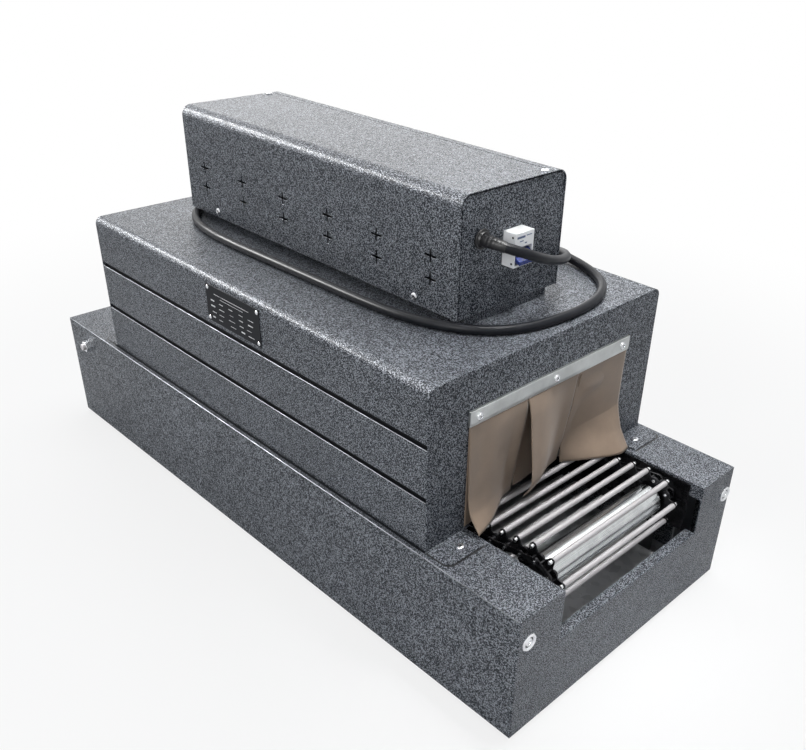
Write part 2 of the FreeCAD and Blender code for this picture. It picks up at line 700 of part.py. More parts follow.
def insulation():
    outside = tunnel_side - S.groove_depth - S.tunnel_sheet - S.wool_clearance
    top = tunnel_top - S.tunnel_sheet - S.wool_clearance
    inner = outside - S.wool_side
    under = top - S.wool_top
    section = [(outside, base_top), (outside, top), (-outside, top), (-outside, base_top),
               (-inner, base_top), (-inner, under), (inner, under), (inner, base_top)]
    reach = tunnel_end - S.tunnel_sheet
    blanket = outline("Blanket", "YZ_Plane", section, -reach, 2 * reach)
    round_edges(blanket, "BlanketRound", S.wool_round, Vector(1, 0, 0),
                [(0, way * outside, top) for way in (-1, 1)])
    holes = [bar("BlanketHole_" + name, "z", (sign * S.fan_x, 0, under), S.shaft_hole, S.wool_top)
             for name, sign in ENDS]
    keep(cut("Insulation", blanket, holes), "insulation")


def heater_elements():
    start = S.tunnel_sheet - tunnel_end
    reach = tunnel_end - S.tunnel_sheet - S.heater_end_gap - start
    parts = []
    for side, sign in SIDES:
        y = sign * S.heater_y
        for run, level in (("low", S.heater_low), ("high", S.heater_high)):
            parts.append(prism(f"Heater_{run}_{side}", "x", (start, y, base_top + level),
                               S.heater_radius, reach, 8))
        parts.append(box("HeaterBend_" + side,
                         (start + reach, y - S.heater_radius,
                          base_top + S.heater_low - S.heater_radius),
                         (start + reach + 2 * S.heater_radius, y + S.heater_radius,
                          base_top + S.heater_high + S.heater_radius)))
    keep(group("HeaterElements", parts), "heater_elements")


def clamp_strips():
    strips = []
    heads = []
    for name, sign in ENDS:
        low = tunnel_end if sign > 0 else -tunnel_end - S.clamp_thick
        strips.append(box("Clamp_" + name, (low, -clamp_half, clamp_bottom),
                          (low + S.clamp_thick, clamp_half, clamp_bottom + S.clamp_height)))
        for k in (-1, 0, 1):
            heads.append(screw(f"ClampScrew_{name}_{k + 1}", "x", sign,
                               sign * (tunnel_end + S.clamp_thick), k * (clamp_half - S.clamp_screw_inset),
                               clamp_bottom + S.clamp_height / 2, S.small_head,
                               S.small_head_height))
    keep(group("ClampStrips", strips), "clamp_strips")
    keep(group("ClampScrews", heads), "clamp_screws")


def curtain_strips():
    """Strips of sheet, those at the infeed narrow enough to swing in through the mouth."""
    halves = (S.mouth_half - S.curtain_clearance, clamp_half - S.curtain_inset)
    for (name, sign), half in zip(ENDS, halves):
        low = sign * hinge_x - S.curtain_thick / 2
        width = (2 * half - (S.curtain_count - 1) * S.curtain_gap) / S.curtain_count
        for k in range(int(float(S.curtain_count))):
            y = k * (width + S.curtain_gap) - half
            label = f"curtain_{name}_{k + 1}"
            keep(box(label.title().replace("_", ""), (low, y, base_top + S.curtain_bottom),
                     (low + S.curtain_thick, y + width, clamp_bottom - S.hinge_clearance)), label)


def name_plate():
    low = base_top + S.name_level
    keep(box("NamePlate", (-S.name_half, -tunnel_side - S.name_thick, low),
             (S.name_half, -tunnel_side, low + S.name_height)), "name_plate")
    rivets = []
    for end, sign in ENDS:
        for row, z in (("low", low + S.rivet_inset), ("high", low + S.name_height - S.rivet_inset)):
            rivets.append(screw(f"Rivet_{end}_{row}", "y", -1,
                                sign * (S.name_half - S.rivet_inset), -tunnel_side - S.name_thick, z,
                                S.rivet_radius, S.rivet_height))
    keep(group("PlateRivets", rivets), "plate_rivets")


# top box

def box_floor():
    feet = []
    holes = []
    half = box_side - S.box_foot_gap
    for name, sign in ENDS:
        middle = sign * (box_end - S.box_foot_inset)
        feet.append(box("BoxFoot_" + name, (middle - S.box_foot_width / 2, -half, tunnel_top),
                        (middle + S.box_foot_width / 2, half, box_bottom)))
        holes.append(bar("FloorHole_" + name, "z", (sign * S.fan_x, 0, box_bottom), S.shaft_opening,
                         S.box_sheet))
    keep(group("BoxFeet", feet), "box_feet")
    reach = plate_face - S.box_sheet
    side = box_side - S.box_sheet
    keep(cut("BoxFloor", box("BoxFloorSheet", (-reach, -side, box_bottom),
                             (reach, side, box_bottom + S.box_sheet)), holes), "box_floor")


def cross(name, x, z):
    """The two slits of one cross-shaped vent, through the near side of the cover."""
    arms = ((S.vent_arm, S.vent_slit), (S.vent_slit, S.vent_arm))
    return [box(f"{name}_{k}", (x - wide / 2, -box_side, z - tall / 2),
                (x + wide / 2, S.box_sheet - box_side, z + tall / 2))
            for k, (wide, tall) in enumerate(arms)]


def box_cover():
    section = [(-box_side, box_bottom), (-box_side, box_top), (seam_y, box_top),
               (seam_y, box_top - S.box_sheet), (S.box_sheet - box_side, box_top - S.box_sheet),
               (S.box_sheet - box_side, box_bottom)]
    body = outline("CoverSheet", "YZ_Plane", section, -box_end, S.box_length)
    along = Vector(1, 0, 0)
    round_edges(body, "BoxCoverOutside", S.box_round, along, [(0, -box_side, box_top)])
    round_edges(body, "BoxCoverInside", S.box_round - S.box_sheet, along,
                [(0, S.box_sheet - box_side, box_top - S.box_sheet)])
    slits = []
    columns = int(float(S.vent_columns))
    for k in range(columns):
        x = (k - (columns - 1) / 2) * S.vent_pitch
        slits += cross(f"VentLow{k}", x, box_bottom + S.vent_low)
        slits += cross(f"VentHigh{k}", x, box_bottom + S.vent_high)
    keep(cut("BoxCover", body, [fuse("VentSlits", slits)]), "box_cover")


def rocker_places():
    return [("power", S.rocker_first), ("fan", S.rocker_first + S.rocker_pitch),
            ("conveyor", S.rocker_first + 2 * S.rocker_pitch)]


def knob_places():
    return [("speed", S.speed_x), ("heat", S.heat_x)]


def control_panel():
    section = [(box_side, box_bottom), (box_side, box_top), (seam_y, box_top),
               (seam_y, box_top - S.box_sheet), (box_side - S.box_sheet, box_top - S.box_sheet),
               (box_side - S.box_sheet, box_bottom)]
    body = outline("PanelSheet", "YZ_Plane", section, -box_end, S.box_length)
    along = Vector(1, 0, 0)
    round_edges(body, "PanelOutside", S.box_round, along, [(0, box_side, box_top)])
    round_edges(body, "PanelInside", S.box_round - S.box_sheet, along,
                [(0, box_side - S.box_sheet, box_top - S.box_sheet)])
    back = box_side - S.box_sheet
    holes = []
    for name, x in rocker_places():
        holes.append(box("SwitchHole_" + name, (x - S.switch_half, back, control_z - S.switch_height),
                         (x + S.switch_half, box_side, control_z + S.switch_height)))
    for name, x in knob_places():
        holes.append(bar("KnobHole_" + name, "y", (x, back, control_z),
                         S.knob_shaft + S.hole_clearance, S.box_sheet))
    keep(cut("ControlPanel", body, holes), "control_panel")


def control_units():
    """The switch bodies with their frames, and the two regulators behind the knobs."""
    parts = []
    for name, x in rocker_places():
        housing = fuse("SwitchBody_" + name, [
            box("SwitchBack_" + name,
                (x - S.switch_half, box_side - S.switch_depth, control_z - S.switch_height),
                (x + S.switch_half, box_side, control_z + S.switch_height)),
            box("Bezel_" + name, (x - S.bezel_half, box_side, control_z - S.bezel_height),
                (x + S.bezel_half, box_side + S.bezel_thick, control_z + S.bezel_height))])
        pocket = box("RockerSlot_" + name,
                     (x - S.rocker_half - S.cutout_clearance, box_side - S.rocker_slot,
                      control_z - S.rocker_slot),
                     (x + S.rocker_half + S.cutout_clearance, box_side + S.bezel_thick,
                      control_z + S.rocker_slot))
        parts.append(cut("Switch_" + name, housing, [pocket]))
    back = box_side - S.box_sheet
    for name, x in knob_places():
        start = (x, back - S.unit_depth, control_z)
        parts.append(cut("Unit_" + name, bar("UnitBody_" + name, "y", start, S.unit_radius,
                                             S.unit_depth),
                         [bar("UnitBore_" + name, "y", start, S.knob_shaft + S.running_clearance,
                              S.unit_depth)]))
    keep(group("ControlUnits", parts), "control_units")


def rockers():
    """Each rocker is a round bar cut to two faces in a shallow V, its upper half pressed in."""
    for name, x in rocker_places():
        reach = S.rocker_radius
        round_bar = bar("RockerBar_" + name, "x", (x - S.rocker_half, box_side, control_z), reach,
                        2 * S.rocker_half)
        valley = box_side + S.rocker_valley
        section = [(box_side - reach, control_z - reach),
                   (valley + S.rocker_rise, control_z - reach), (valley, control_z),
                   (valley, control_z + reach), (box_side - reach, control_z + reach)]
        wedge = outline("RockerWedge_" + name, "YZ_Plane", section, x - S.rocker_half,
                        2 * S.rocker_half)
        rocker = doc.addObject("Part::Common", "Rocker_" + name)
        rocker.Base = round_bar
        rocker.Tool = wedge
        keep(rocker, name + "_rocker")


def knobs():
    for name, x in knob_places():
        low = box_side + S.knob_gap
        head = bar("KnobHead_" + name, "y", (x, low, control_z), S.knob_radius, S.knob_height)
        stem = bar("KnobStem_" + name, "y", (x, box_side - S.box_sheet - S.unit_depth, control_z),
                   S.knob_shaft, S.box_sheet + S.unit_depth + S.knob_gap)
        pointer = box("KnobPointer_" + name, (x - S.knob_pointer / 2, low, control_z),
                      (x + S.knob_pointer / 2, low + S.knob_height + S.knob_pointer / 2,
                       control_z + S.knob_radius))
        keep(fuse("Knob_" + name, [head, stem, pointer]), name + "_knob")


def pilot_lamps():
    parts = [prism("Lamp_" + name, "y", (x, box_side, box_bottom + S.lamp_level), S.lamp_radius,
                   S.lamp_height, S.small_sides) for name, x in rocker_places()]
    keep(group("PilotLamps", parts), "pilot_lamps")


def box_end_plates():
    side = box_side - S.box_sheet - S.seam_gap
    top = box_top - S.box_sheet - S.seam_gap
    section = [(-side, box_bottom), (side, box_bottom), (side, top), (-side, top)]
    parts = []
    for name, sign in ENDS:
        start = -plate_face if sign < 0 else plate_face - S.box_sheet
        plate = outline("BoxEnd_" + name, "YZ_Plane", section, start, S.box_sheet)
        round_edges(plate, "BoxEndRound_" + name, S.box_round - S.box_sheet - S.seam_gap,
                    Vector(1, 0, 0), [(0, way * side, top) for way in (-1, 1)])
        if sign > 0:
            half = S.breaker_half + S.cutout_clearance
            hole = box("BreakerHole", (start, -half, breaker_z - S.cutout_clearance),
                       (start + S.box_sheet, half, breaker_z + S.breaker_nose + S.cutout_clearance))
            gland = bar("GrommetHole", "x", (start, S.grommet_y, box_bottom + S.grommet_level),
                        S.grommet_neck, S.box_sheet)
            plate = cut("BoxEndCut_" + name, plate, [hole, gland])
        parts.append(plate)
    keep(group("BoxEndPlates", parts), "box_end_plates")


def cover_screws():
    parts = []
    for name, sign in ENDS:
        parts.append(screw("CoverScrew_" + name, "y", -1, sign * (box_end - S.cover_screw_inset), -box_side,
                           box_bottom + S.cover_screw_level, S.small_head, S.small_head_height))
        parts.append(screw("PanelScrew_" + name, "y", 1, sign * (box_end - S.cover_screw_inset), box_side,
                           box_bottom + S.cover_screw_level, S.small_head, S.small_head_height))
        parts.append(screw("TopScrew_" + name, "z", 1, sign * (box_end - S.top_screw_inset),
                           seam_y - S.top_screw_gap, box_top, S.small_head, S.small_head_height))
    keep(group("CoverScrews", parts), "cover_screws")


def breaker():
    inside = plate_face - S.box_sheet
    extra = (S.breaker_body - S.breaker_nose) / 2
    body = fuse("BreakerSolid", [
        box("BreakerBack", (inside - S.breaker_depth, -S.breaker_half, breaker_z - extra),
            (inside, S.breaker_half, breaker_z + S.breaker_nose + extra)),
        box("BreakerNose", (inside, -S.breaker_half, breaker_z),
            (box_end + S.breaker_stand, S.breaker_half, breaker_z + S.breaker_nose))])
    slot_half = S.toggle_half + S.cutout_clearance
    slot = box("ToggleSlot", (toggle_x - S.toggle_radius - S.cutout_clearance, -slot_half,
                              toggle_z - S.toggle_slot),
               (box_end + S.breaker_stand, slot_half, toggle_z + S.toggle_slot))
    keep(cut("BreakerBody", body, [slot]), "breaker_body")
    hub = bar("ToggleHub", "y", (toggle_x, -S.toggle_half, toggle_z), S.toggle_radius,
              2 * S.toggle_half)
    tip_x = toggle_x + S.toggle_reach
    tip_z = toggle_z - S.toggle_drop
    half = S.toggle_thick / 2
    section = [(toggle_x, toggle_z - half), (tip_x, tip_z - half), (tip_x, tip_z + half),
               (toggle_x, toggle_z + half)]
    lever = outline("ToggleLever", "XZ_Plane", section, -S.toggle_half, 2 * S.toggle_half)
    keep(fuse("BreakerToggle", [hub, lever]), "breaker_toggle")


def cord_grommet():
    z = box_bottom + S.grommet_level
    inside = plate_face - S.box_sheet
    flange = bar("GrommetFlange", "x", (plate_face, S.grommet_y, z), S.grommet_radius,
                 S.grommet_flange)
    neck = bar("GrommetNeck", "x", (inside, S.grommet_y, z), S.grommet_neck, S.box_sheet)
    relief = bar("GrommetRelief", "x", (plate_face + S.grommet_flange, S.grommet_y, z),
                 S.grommet_neck, S.grommet_neck_length, S.cord_radius)
    keep(fuse("CordGrommet", [neck, flange, relief]), "cord_grommet")


def fans():
    motors = []
    floor = box_bottom + S.box_sheet
    bottom = liner_top + S.liner_sheet + S.fan_gap
    for name, sign in ENDS:
        x = sign * S.fan_x
        motors.append(cut("FanMotor_" + name,
                          bar("FanCan_" + name, "z", (x, 0, floor), S.fan_motor_radius,
                              S.fan_motor_height),
                          [bar("FanBore_" + name, "z", (x, 0, floor),
                               S.fan_shaft + S.running_clearance, S.fan_shaft_depth)]))
        parts = [bar("FanShaft_" + name, "z", (x, 0, bottom), S.fan_shaft,
                     floor + S.fan_shaft_depth - S.cutout_clearance - bottom),
                 bar("FanHub_" + name, "z", (x, 0, bottom), S.fan_hub,
                     S.fan_disc + S.fan_blade_height),
                 bar("FanDisc_" + name, "z", (x, 0, bottom), S.fan_radius, S.fan_disc)]
        for k in range(int(float(S.fan_blades))):
            blade = doc.addObject("Part::Box", f"Blade_{name}_{k}")
            bind(blade, Length=S.fan_radius - S.fan_hub, Width=S.fan_disc,
                 Height=S.fan_disc + S.fan_blade_height)
            turn = 2 * math.pi * k / float(S.fan_blades)
            blade.Placement = Placement(Vector(), Rotation(Vector(0, 0, 1), math.degrees(turn)))
            reach = S.fan_hub - S.fan_disc
            place(blade, x + reach * math.cos(turn) + S.fan_disc / 2 * math.sin(turn),
                  reach * math.sin(turn) - S.fan_disc / 2 * math.cos(turn), bottom)
            parts.append(blade)
        keep(fuse("FanImpeller_" + name, parts), "fan_impeller_" + name)
    keep(group("FanMotors", motors), "fan_motors")


# mains cord

CORD = [
    (17, 0, 0), (29.5, 4, -2), (40, 12, -5.5), (47.5, 23, -9.5), (51.5, 37, -15.5),
    (51, 57, -24), (46.5, 82, -33.5), (39, 108, -42), (28, 133, -49), (13, 157, -55),
    (-10, 177, -61), (-41, 189, -69),
]
CORD_ON_DECK = [
    (215, 149, 41), (160, 159, 12), (96, 166, 0), (20, 164, 0), (-62, 167, 0), (-140, 164, 0),
    (-212, 154, 0), (-272, 130, 0), (-316, 87, 0), (-334, 30, 0), (-333, -32, 0), (-312, -84, 0),
    (-268, -119, 0), (-204, -136, 0), (-122, -139, 0), (-30, -136, 0), (66, -134, 0), (154, -132, 0),
    (226, -127, 0), (284, -111, 0), (331, -83, 0), (361, -40, 0), (372, 14, 0), (374, 70, 0),
    (363, 124, 0), (334, 168, 0), (286, 196, 0), (230, 207, 2), (178, 201, 11.5), (130, 201, 11.5),
]


def cord_points():
    """The route, from the grommet's mouth to the plug: the first points stand out from the gland."""
    gland = Vector(float(plate_face + S.grommet_flange + S.grommet_neck_length), float(S.grommet_y),
                   float(box_bottom + S.grommet_level))
    rest = float(tunnel_top + S.cord_radius)
    points = [gland] + [Vector(float(box_end), gland.y, gland.z) + Vector(*step) for step in CORD]
    return points + [Vector(x, y, rest + rise) for x, y, rise in CORD_ON_DECK]


def cord_path(points):
    """Straight runs joined by tangent arcs, each arc as large as its two runs allow."""
    edges = []
    radii = []
    at = points[0]
    for before, corner, after in zip(points, points[1:], points[2:]):
        back = before - corner
        ahead = after - corner
        trim = 0.45 * min(back.Length, ahead.Length)
        turn = math.pi - back.getAngle(ahead)
        radius = trim / math.tan(turn / 2)
        radii.append(radius)
        back.normalize()
        ahead.normalize()
        bisector = (back + ahead).normalize()
        first = corner + back * trim
        last = corner + ahead * trim
        middle = corner + bisector * (radius / math.cos(turn / 2) - radius)
        edges.append(Part.LineSegment(at, first).toShape())
        edges.append(Part.Arc(first, middle, last).toShape())
        at = last
    edges.append(Part.LineSegment(at, points[-1]).toShape())
    return Part.Wire(edges), radii


def power_cord():
    points = cord_points()
    path, radii = cord_path(points)
    start = (points[1] - points[0]).normalize()
    section = Part.Wire(Part.makeCircle(float(S.cord_radius), points[0], start))
    tube = path.makePipeShell([section], True, False)
    expected = math.pi * float(S.cord_radius) ** 2 * path.Length
    print(f"cord {path.Length:.0f} mm long, volume {tube.Volume / expected:.4f} of section times length")
    print("radii in mm:", " ".join(f"{radius:.0f}" for radius in radii))
    feature("power_cord", tube)


def plug():
    end = cord_points()[-1]
    centre = Vector(end.x, end.y, float(tunnel_top + S.plug_radius))
    back = Vector(-1, 0, 0)
    length = float(S.plug_length)
    neck = 0.3 * length
    cone = Part.makeCone(float(S.cord_radius), float(S.plug_radius), neck, centre, back)
    head = Part.makeCylinder(float(S.plug_radius), length - neck, centre + back * neck, back)
    feature("plug_body", cone.fuse(head))
    face = centre + back * length
    pins = []
    for sign in (-1, 1):
        start = face + Vector(0, sign * float(S.pin_pitch) / 2, 0)
        pins.append(Part.makeCylinder(float(S.pin_radius), float(S.pin_length), start, back))
    feature("plug_pins", Part.makeCompound(pins))


def build():
    base_shell()
    base_floor()
    rubber_feet()
    deck_plate()
    end_screws()
    side_plates()
    chain_rails()
    conveyor_chains()
    conveyor_rods()
    wheels()
    drum("drive_drum", 1, S.shaft_radius)
    drum("idler_drum", -1, S.axle_radius + S.running_clearance)
    drive_shaft()
    drive_bearings()
    idler_axle()
    gear_motor()
    tunnel_cover()
    tunnel_ends()
    tab_screws()
    chamber_liner()
    insulation()
    heater_elements()
    clamp_strips()
    curtain_strips()
    name_plate()
    box_floor()
    box_cover()
    control_panel()
    control_units()
    rockers()
    knobs()
    pilot_lamps()
    box_end_plates()
    cover_screws()
    breaker()
    cord_grommet()
    fans()
    power_cord()
    plug()
    doc.recompute()


def check():
    """Stops before anything is written if a feature failed or a sub-part has no sound shape."""
    for obj in doc.Objects:
        if any(word in obj.State for word in ("Invalid", "Error")):
            raise RuntimeError(f"{obj.Name} failed: {obj.State}")
    for obj in nodes:
        if obj.Shape.isNull() or not obj.Shape.isValid() or not obj.Shape.Solids:
            raise RuntimeError(f"{obj.Label} has no valid solid")


def export():
    os.makedirs("parts", exist_ok=True)
    for obj in nodes:
        obj.Shape.exportStep(os.path.join("parts", obj.Label + ".step"))


build()
check()
export()
print(len(nodes), "sub-parts,", loop.links, "links in each chain")
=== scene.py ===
"""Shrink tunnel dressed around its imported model: hammered casing, chain-and-rod conveyor,
cloth curtains and the mains cord. Lengths are in metres unless a name ends in _MM."""
import json
import math
import random

import bmesh
import bpy
from mathutils import Matrix, Vector


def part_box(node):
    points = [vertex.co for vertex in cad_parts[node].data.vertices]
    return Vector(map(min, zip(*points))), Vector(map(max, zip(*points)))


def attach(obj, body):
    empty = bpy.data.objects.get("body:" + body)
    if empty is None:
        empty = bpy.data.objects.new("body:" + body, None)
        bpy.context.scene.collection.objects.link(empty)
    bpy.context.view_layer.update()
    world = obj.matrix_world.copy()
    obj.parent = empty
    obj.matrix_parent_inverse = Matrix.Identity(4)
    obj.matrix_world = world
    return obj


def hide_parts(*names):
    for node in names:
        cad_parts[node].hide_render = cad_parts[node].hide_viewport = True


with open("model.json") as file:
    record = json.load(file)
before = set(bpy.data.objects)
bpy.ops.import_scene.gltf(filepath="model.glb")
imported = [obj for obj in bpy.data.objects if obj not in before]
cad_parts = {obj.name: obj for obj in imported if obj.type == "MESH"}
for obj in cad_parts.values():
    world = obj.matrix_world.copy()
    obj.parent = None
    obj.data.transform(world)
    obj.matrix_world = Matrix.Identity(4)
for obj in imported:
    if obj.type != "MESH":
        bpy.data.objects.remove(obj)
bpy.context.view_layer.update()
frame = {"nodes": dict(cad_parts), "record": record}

MM = 0.001
NODES = frame["nodes"]
SLOT_OF = {part["node"]: part["material_slot"] for part in frame["record"]["subparts"]}
BODY_OF = {node: body for body, members in frame["record"]["behaviour"]["bodies"].items()
           for node in members}

X, Y, Z = Vector((1, 0, 0)), Vector((0, 1, 0)), Vector((0, 0, 1))

# Places on the casing that several pieces share.
BASE_TOP = 0.198
TUNNEL_END = 0.3925
TUNNEL_WALL = 0.2295
GROOVE_LIPS = (0.27175, 0.34675)
GROOVE_BACK = 0.2235
LIP_ROUND = 0.0013


# camera, light and floor

def photo_camera():
    data = bpy.data.cameras.new("PhotoCamera")
    data.lens = 40.13
    data.sensor_width = 36
    data.shift_x = -0.0574
    data.shift_y = 0.0744
    data.clip_start = 0.02
    camera = bpy.data.objects.new("PhotoCamera", data)
    right = Vector((0.70817, 0.70531, 0.03216))
    up = Vector((-0.3889, 0.35165, 0.85153))
    back = Vector((0.58928, -0.61554, 0.52332))
    turned = Matrix((right, up, back)).transposed().to_4x4()
    camera.matrix_world = Matrix.Translation((1.0134, -0.8441, 0.9085)) @ turned
    bpy.context.scene.collection.objects.link(camera)
    bpy.context.scene.camera = camera


def soft_lamp(name, place, target, size, power, gloss_only=False, beam=180):
    """An area lamp, with its beam in degrees. With gloss_only it only shows as a highlight."""
    data = bpy.data.lights.new(name, "AREA")
    data.shape = "RECTANGLE"
    data.size, data.size_y = size
    data.energy = power
    data.spread = math.radians(beam)
    lamp = bpy.data.objects.new(name, data)
    lamp.location = place
    lamp.rotation_euler = (Vector(target) - Vector(place)).to_track_quat("-Z", "Y").to_euler()
    lamp.visible_diffuse = not gloss_only
    bpy.context.scene.collection.objects.link(lamp)


# node trees

class Tree:
    """Short calls for filling a node tree. A socket value is a number, a colour or another
    node's output."""

    def __init__(self, tree):
        self.tree = tree

    def add(self, kind, sockets=None, **settings):
        made = self.tree.nodes.new(kind)
        for name, value in settings.items():
            setattr(made, name, value)
        for key, value in (sockets or {}).items():
            self.feed(made.inputs[key], value)
        return made

    def feed(self, socket, value):
        if isinstance(value, bpy.types.NodeSocket):
            self.tree.links.new(value, socket)
        else:
            socket.default_value = value

    def math(self, operation, *values):
        made = self.add("ShaderNodeMath", dict(enumerate(values)), operation=operation)
        return made.outputs[0]

    def vector(self, operation, *values):
        made = self.add("ShaderNodeVectorMath", operation=operation)
        for socket, value in zip(made.inputs, values):
            self.feed(socket, value)
        return made.outputs[0]

    def scaled(self, vector, factor):
        made = self.add("ShaderNodeVectorMath", {"Scale": factor}, operation="SCALE")
        self.feed(made.inputs[0], vector)
        return made.outputs[0]

    def remap(self, value, low, high, to_low=0.0, to_high=1.0, smooth=True):
        kind = "SMOOTHSTEP" if smooth else "LINEAR"
        made = self.add("ShaderNodeMapRange", {"Value": value, "From Min": low, "From Max": high,
                                               "To Min": to_low, "To Max": to_high},
                        interpolation_type=kind)
        return made.outputs["Result"]

    def mix(self, factor, first, second, blend="MIX"):
        made = self.add("ShaderNodeMix", data_type="RGBA", blend_type=blend)
        self.feed(made.inputs[0], factor)
        self.feed(made.inputs[6], first)
        self.feed(made.inputs[7], second)
        return made.outputs[2]

    def noise(self, vector, scale, detail=2.0, roughness=0.5):
        return self.add("ShaderNodeTexNoise", {"Vector": vector, "Scale": scale, "Detail": detail,
                                               "Roughness": roughness})

    def bump(self, height, distance, strength=1.0):
        made = self.add("ShaderNodeBump", {"Height": height, "Distance": distance,
                                           "Strength": strength})
        return made.outputs["Normal"]

    def place(self):
        return self.add("ShaderNodeTexCoord").outputs["Object"]


KINDS = {"value": "NodeSocketFloat", "color": "NodeSocketColor", "vector": "NodeSocketVector",
         "object": "NodeSocketObject", "material": "NodeSocketMaterial",
         "geometry": "NodeSocketGeometry", "count": "NodeSocketInt"}


def group_tree(kind, name, inputs, outputs):
    """A node group with named sockets: returns its Tree, its inputs and its output node."""
    tree = bpy.data.node_groups.new(name, kind)
    for way, sockets in (("INPUT", inputs), ("OUTPUT", outputs)):
        for label, value in sockets.items():
            sort, default = value if isinstance(value, tuple) else (value, None)
            socket = tree.interface.new_socket(label, in_out=way, socket_type=KINDS[sort])
            if default is not None:
                socket.default_value = default
    filled = Tree(tree)
    return filled, filled.add("NodeGroupInput").outputs, filled.add("NodeGroupOutput")


def hammered_enamel():
    """Hammertone paint: wandering bright ridges and dark hollows of one size, with fine flakes."""
    tree, given, out = group_tree(
        "ShaderNodeTree", "Hammered enamel",
        {"Hollow": "color", "Ridge": "color", "Grain": ("value", 0.0016),
         "Relief": ("value", 0.0001), "Dull": ("value", 0.45), "Shiny": ("value", 0.22)},
        {"Color": "color", "Roughness": "value", "Normal": "vector"})
    place = tree.place()
    density = tree.math("DIVIDE", 1.0, given["Grain"])
    ridges = tree.noise(place, density, 1.0, 0.4).outputs["Fac"]
    flakes = tree.noise(place, tree.math("MULTIPLY", density, 2.3), 1.0, 0.5).outputs["Fac"]
    clumps = tree.noise(place, tree.math("MULTIPLY", density, 0.16), 2.0, 0.5).outputs["Fac"]
    tall = tree.math("ADD", ridges, tree.math("MULTIPLY", tree.math("SUBTRACT", flakes, 0.5), 0.45))
    tall = tree.math("ADD", tall, tree.math("MULTIPLY", tree.math("SUBTRACT", clumps, 0.5), 0.14))
    bright = tree.remap(tall, 0.45, 0.7)
    tree.feed(out.inputs["Color"], tree.mix(bright, given["Hollow"], given["Ridge"]))
    tree.feed(out.inputs["Roughness"], tree.remap(bright, 0.0, 1.0, given["Dull"], given["Shiny"], False))
    tree.feed(out.inputs["Normal"], tree.bump(tall, given["Relief"]))
    return tree.tree


def soft_variation():
    """Slow light and dark patches, and a thin dust that settles on faces looking up."""
    tree, given, out = group_tree(
        "ShaderNodeTree", "Soft variation",
        {"Color": "color", "Dust": "color", "Amount": ("value", 0.2), "Dust Amount": ("value", 0.0),
         "Size": ("value", 0.12)},
        {"Color": "color", "Mask": "value"})
    place = tree.place()
    patches = tree.noise(place, tree.math("DIVIDE", 1.0, given["Size"]), 4.0, 0.6).outputs["Fac"]
    shade = tree.remap(patches, 0.25, 0.75, tree.math("SUBTRACT", 1.0, given["Amount"]),
                       tree.math("ADD", 1.0, given["Amount"]), False)
    toned = tree.add("ShaderNodeVectorMath", {"Scale": shade}, operation="SCALE")
    tree.feed(toned.inputs[0], given["Color"])
    facing = tree.add("ShaderNodeSeparateXYZ",
                      {"Vector": tree.add("ShaderNodeNewGeometry").outputs["Normal"]}).outputs["Z"]
    dust = tree.math("MULTIPLY", tree.remap(facing, 0.4, 1.0),
                     tree.remap(patches, 0.35, 0.7, 0.4, 1.0))
    dust = tree.math("MULTIPLY", dust, given["Dust Amount"])
    tree.feed(out.inputs["Color"], tree.mix(dust, toned.outputs[0], given["Dust"]))
    tree.feed(out.inputs["Mask"], patches)
    return tree.tree


def brushed_grain():
    """Fine parallel scratches. Stretch is how many lines fit in a metre along each axis."""
    tree, given, out = group_tree(
        "ShaderNodeTree", "Brushed grain",
        {"Stretch": ("vector", (40.0, 40.0, 3000.0)), "Depth": ("value", 0.00001),
         "Smooth": ("value", 0.25), "Rough": ("value", 0.45)},
        {"Mask": "value", "Roughness": "value", "Normal": "vector"})
    lines = tree.vector("MULTIPLY", tree.place(), given["Stretch"])
    grain = tree.noise(lines, 1.0, 3.0, 0.6).outputs["Fac"]
    tree.feed(out.inputs["Mask"], tree.remap(grain, 0.3, 0.7))
    tree.feed(out.inputs["Roughness"], tree.remap(grain, 0.3, 0.7, given["Smooth"], given["Rough"]))
    tree.feed(out.inputs["Normal"], tree.bump(grain, given["Depth"]))
    return tree.tree


def spangle():
    """The frosted crystals of hot-dip zinc."""
    tree, given, out = group_tree(
        "ShaderNodeTree", "Spangle",
        {"Color": "color", "Light": "color", "Crystal": ("value", 0.012)},
        {"Color": "color", "Roughness": "value"})
    place = tree.place()
    bend = tree.noise(place, 90.0, 3.0).outputs["Color"]
    warped = tree.vector("ADD", place, tree.scaled(bend, 0.006))
    crystals = tree.add("ShaderNodeTexVoronoi",
                        {"Vector": warped, "Scale": tree.math("DIVIDE", 1.0, given["Crystal"])})
    own = tree.add("ShaderNodeSeparateColor", {"Color": crystals.outputs["Color"]}).outputs[0]
    tree.feed(out.inputs["Color"], tree.mix(own, given["Color"], given["Light"]))
    tree.feed(out.inputs["Roughness"], tree.remap(own, 0.0, 1.0, 0.3, 0.55, False))
    return tree.tree


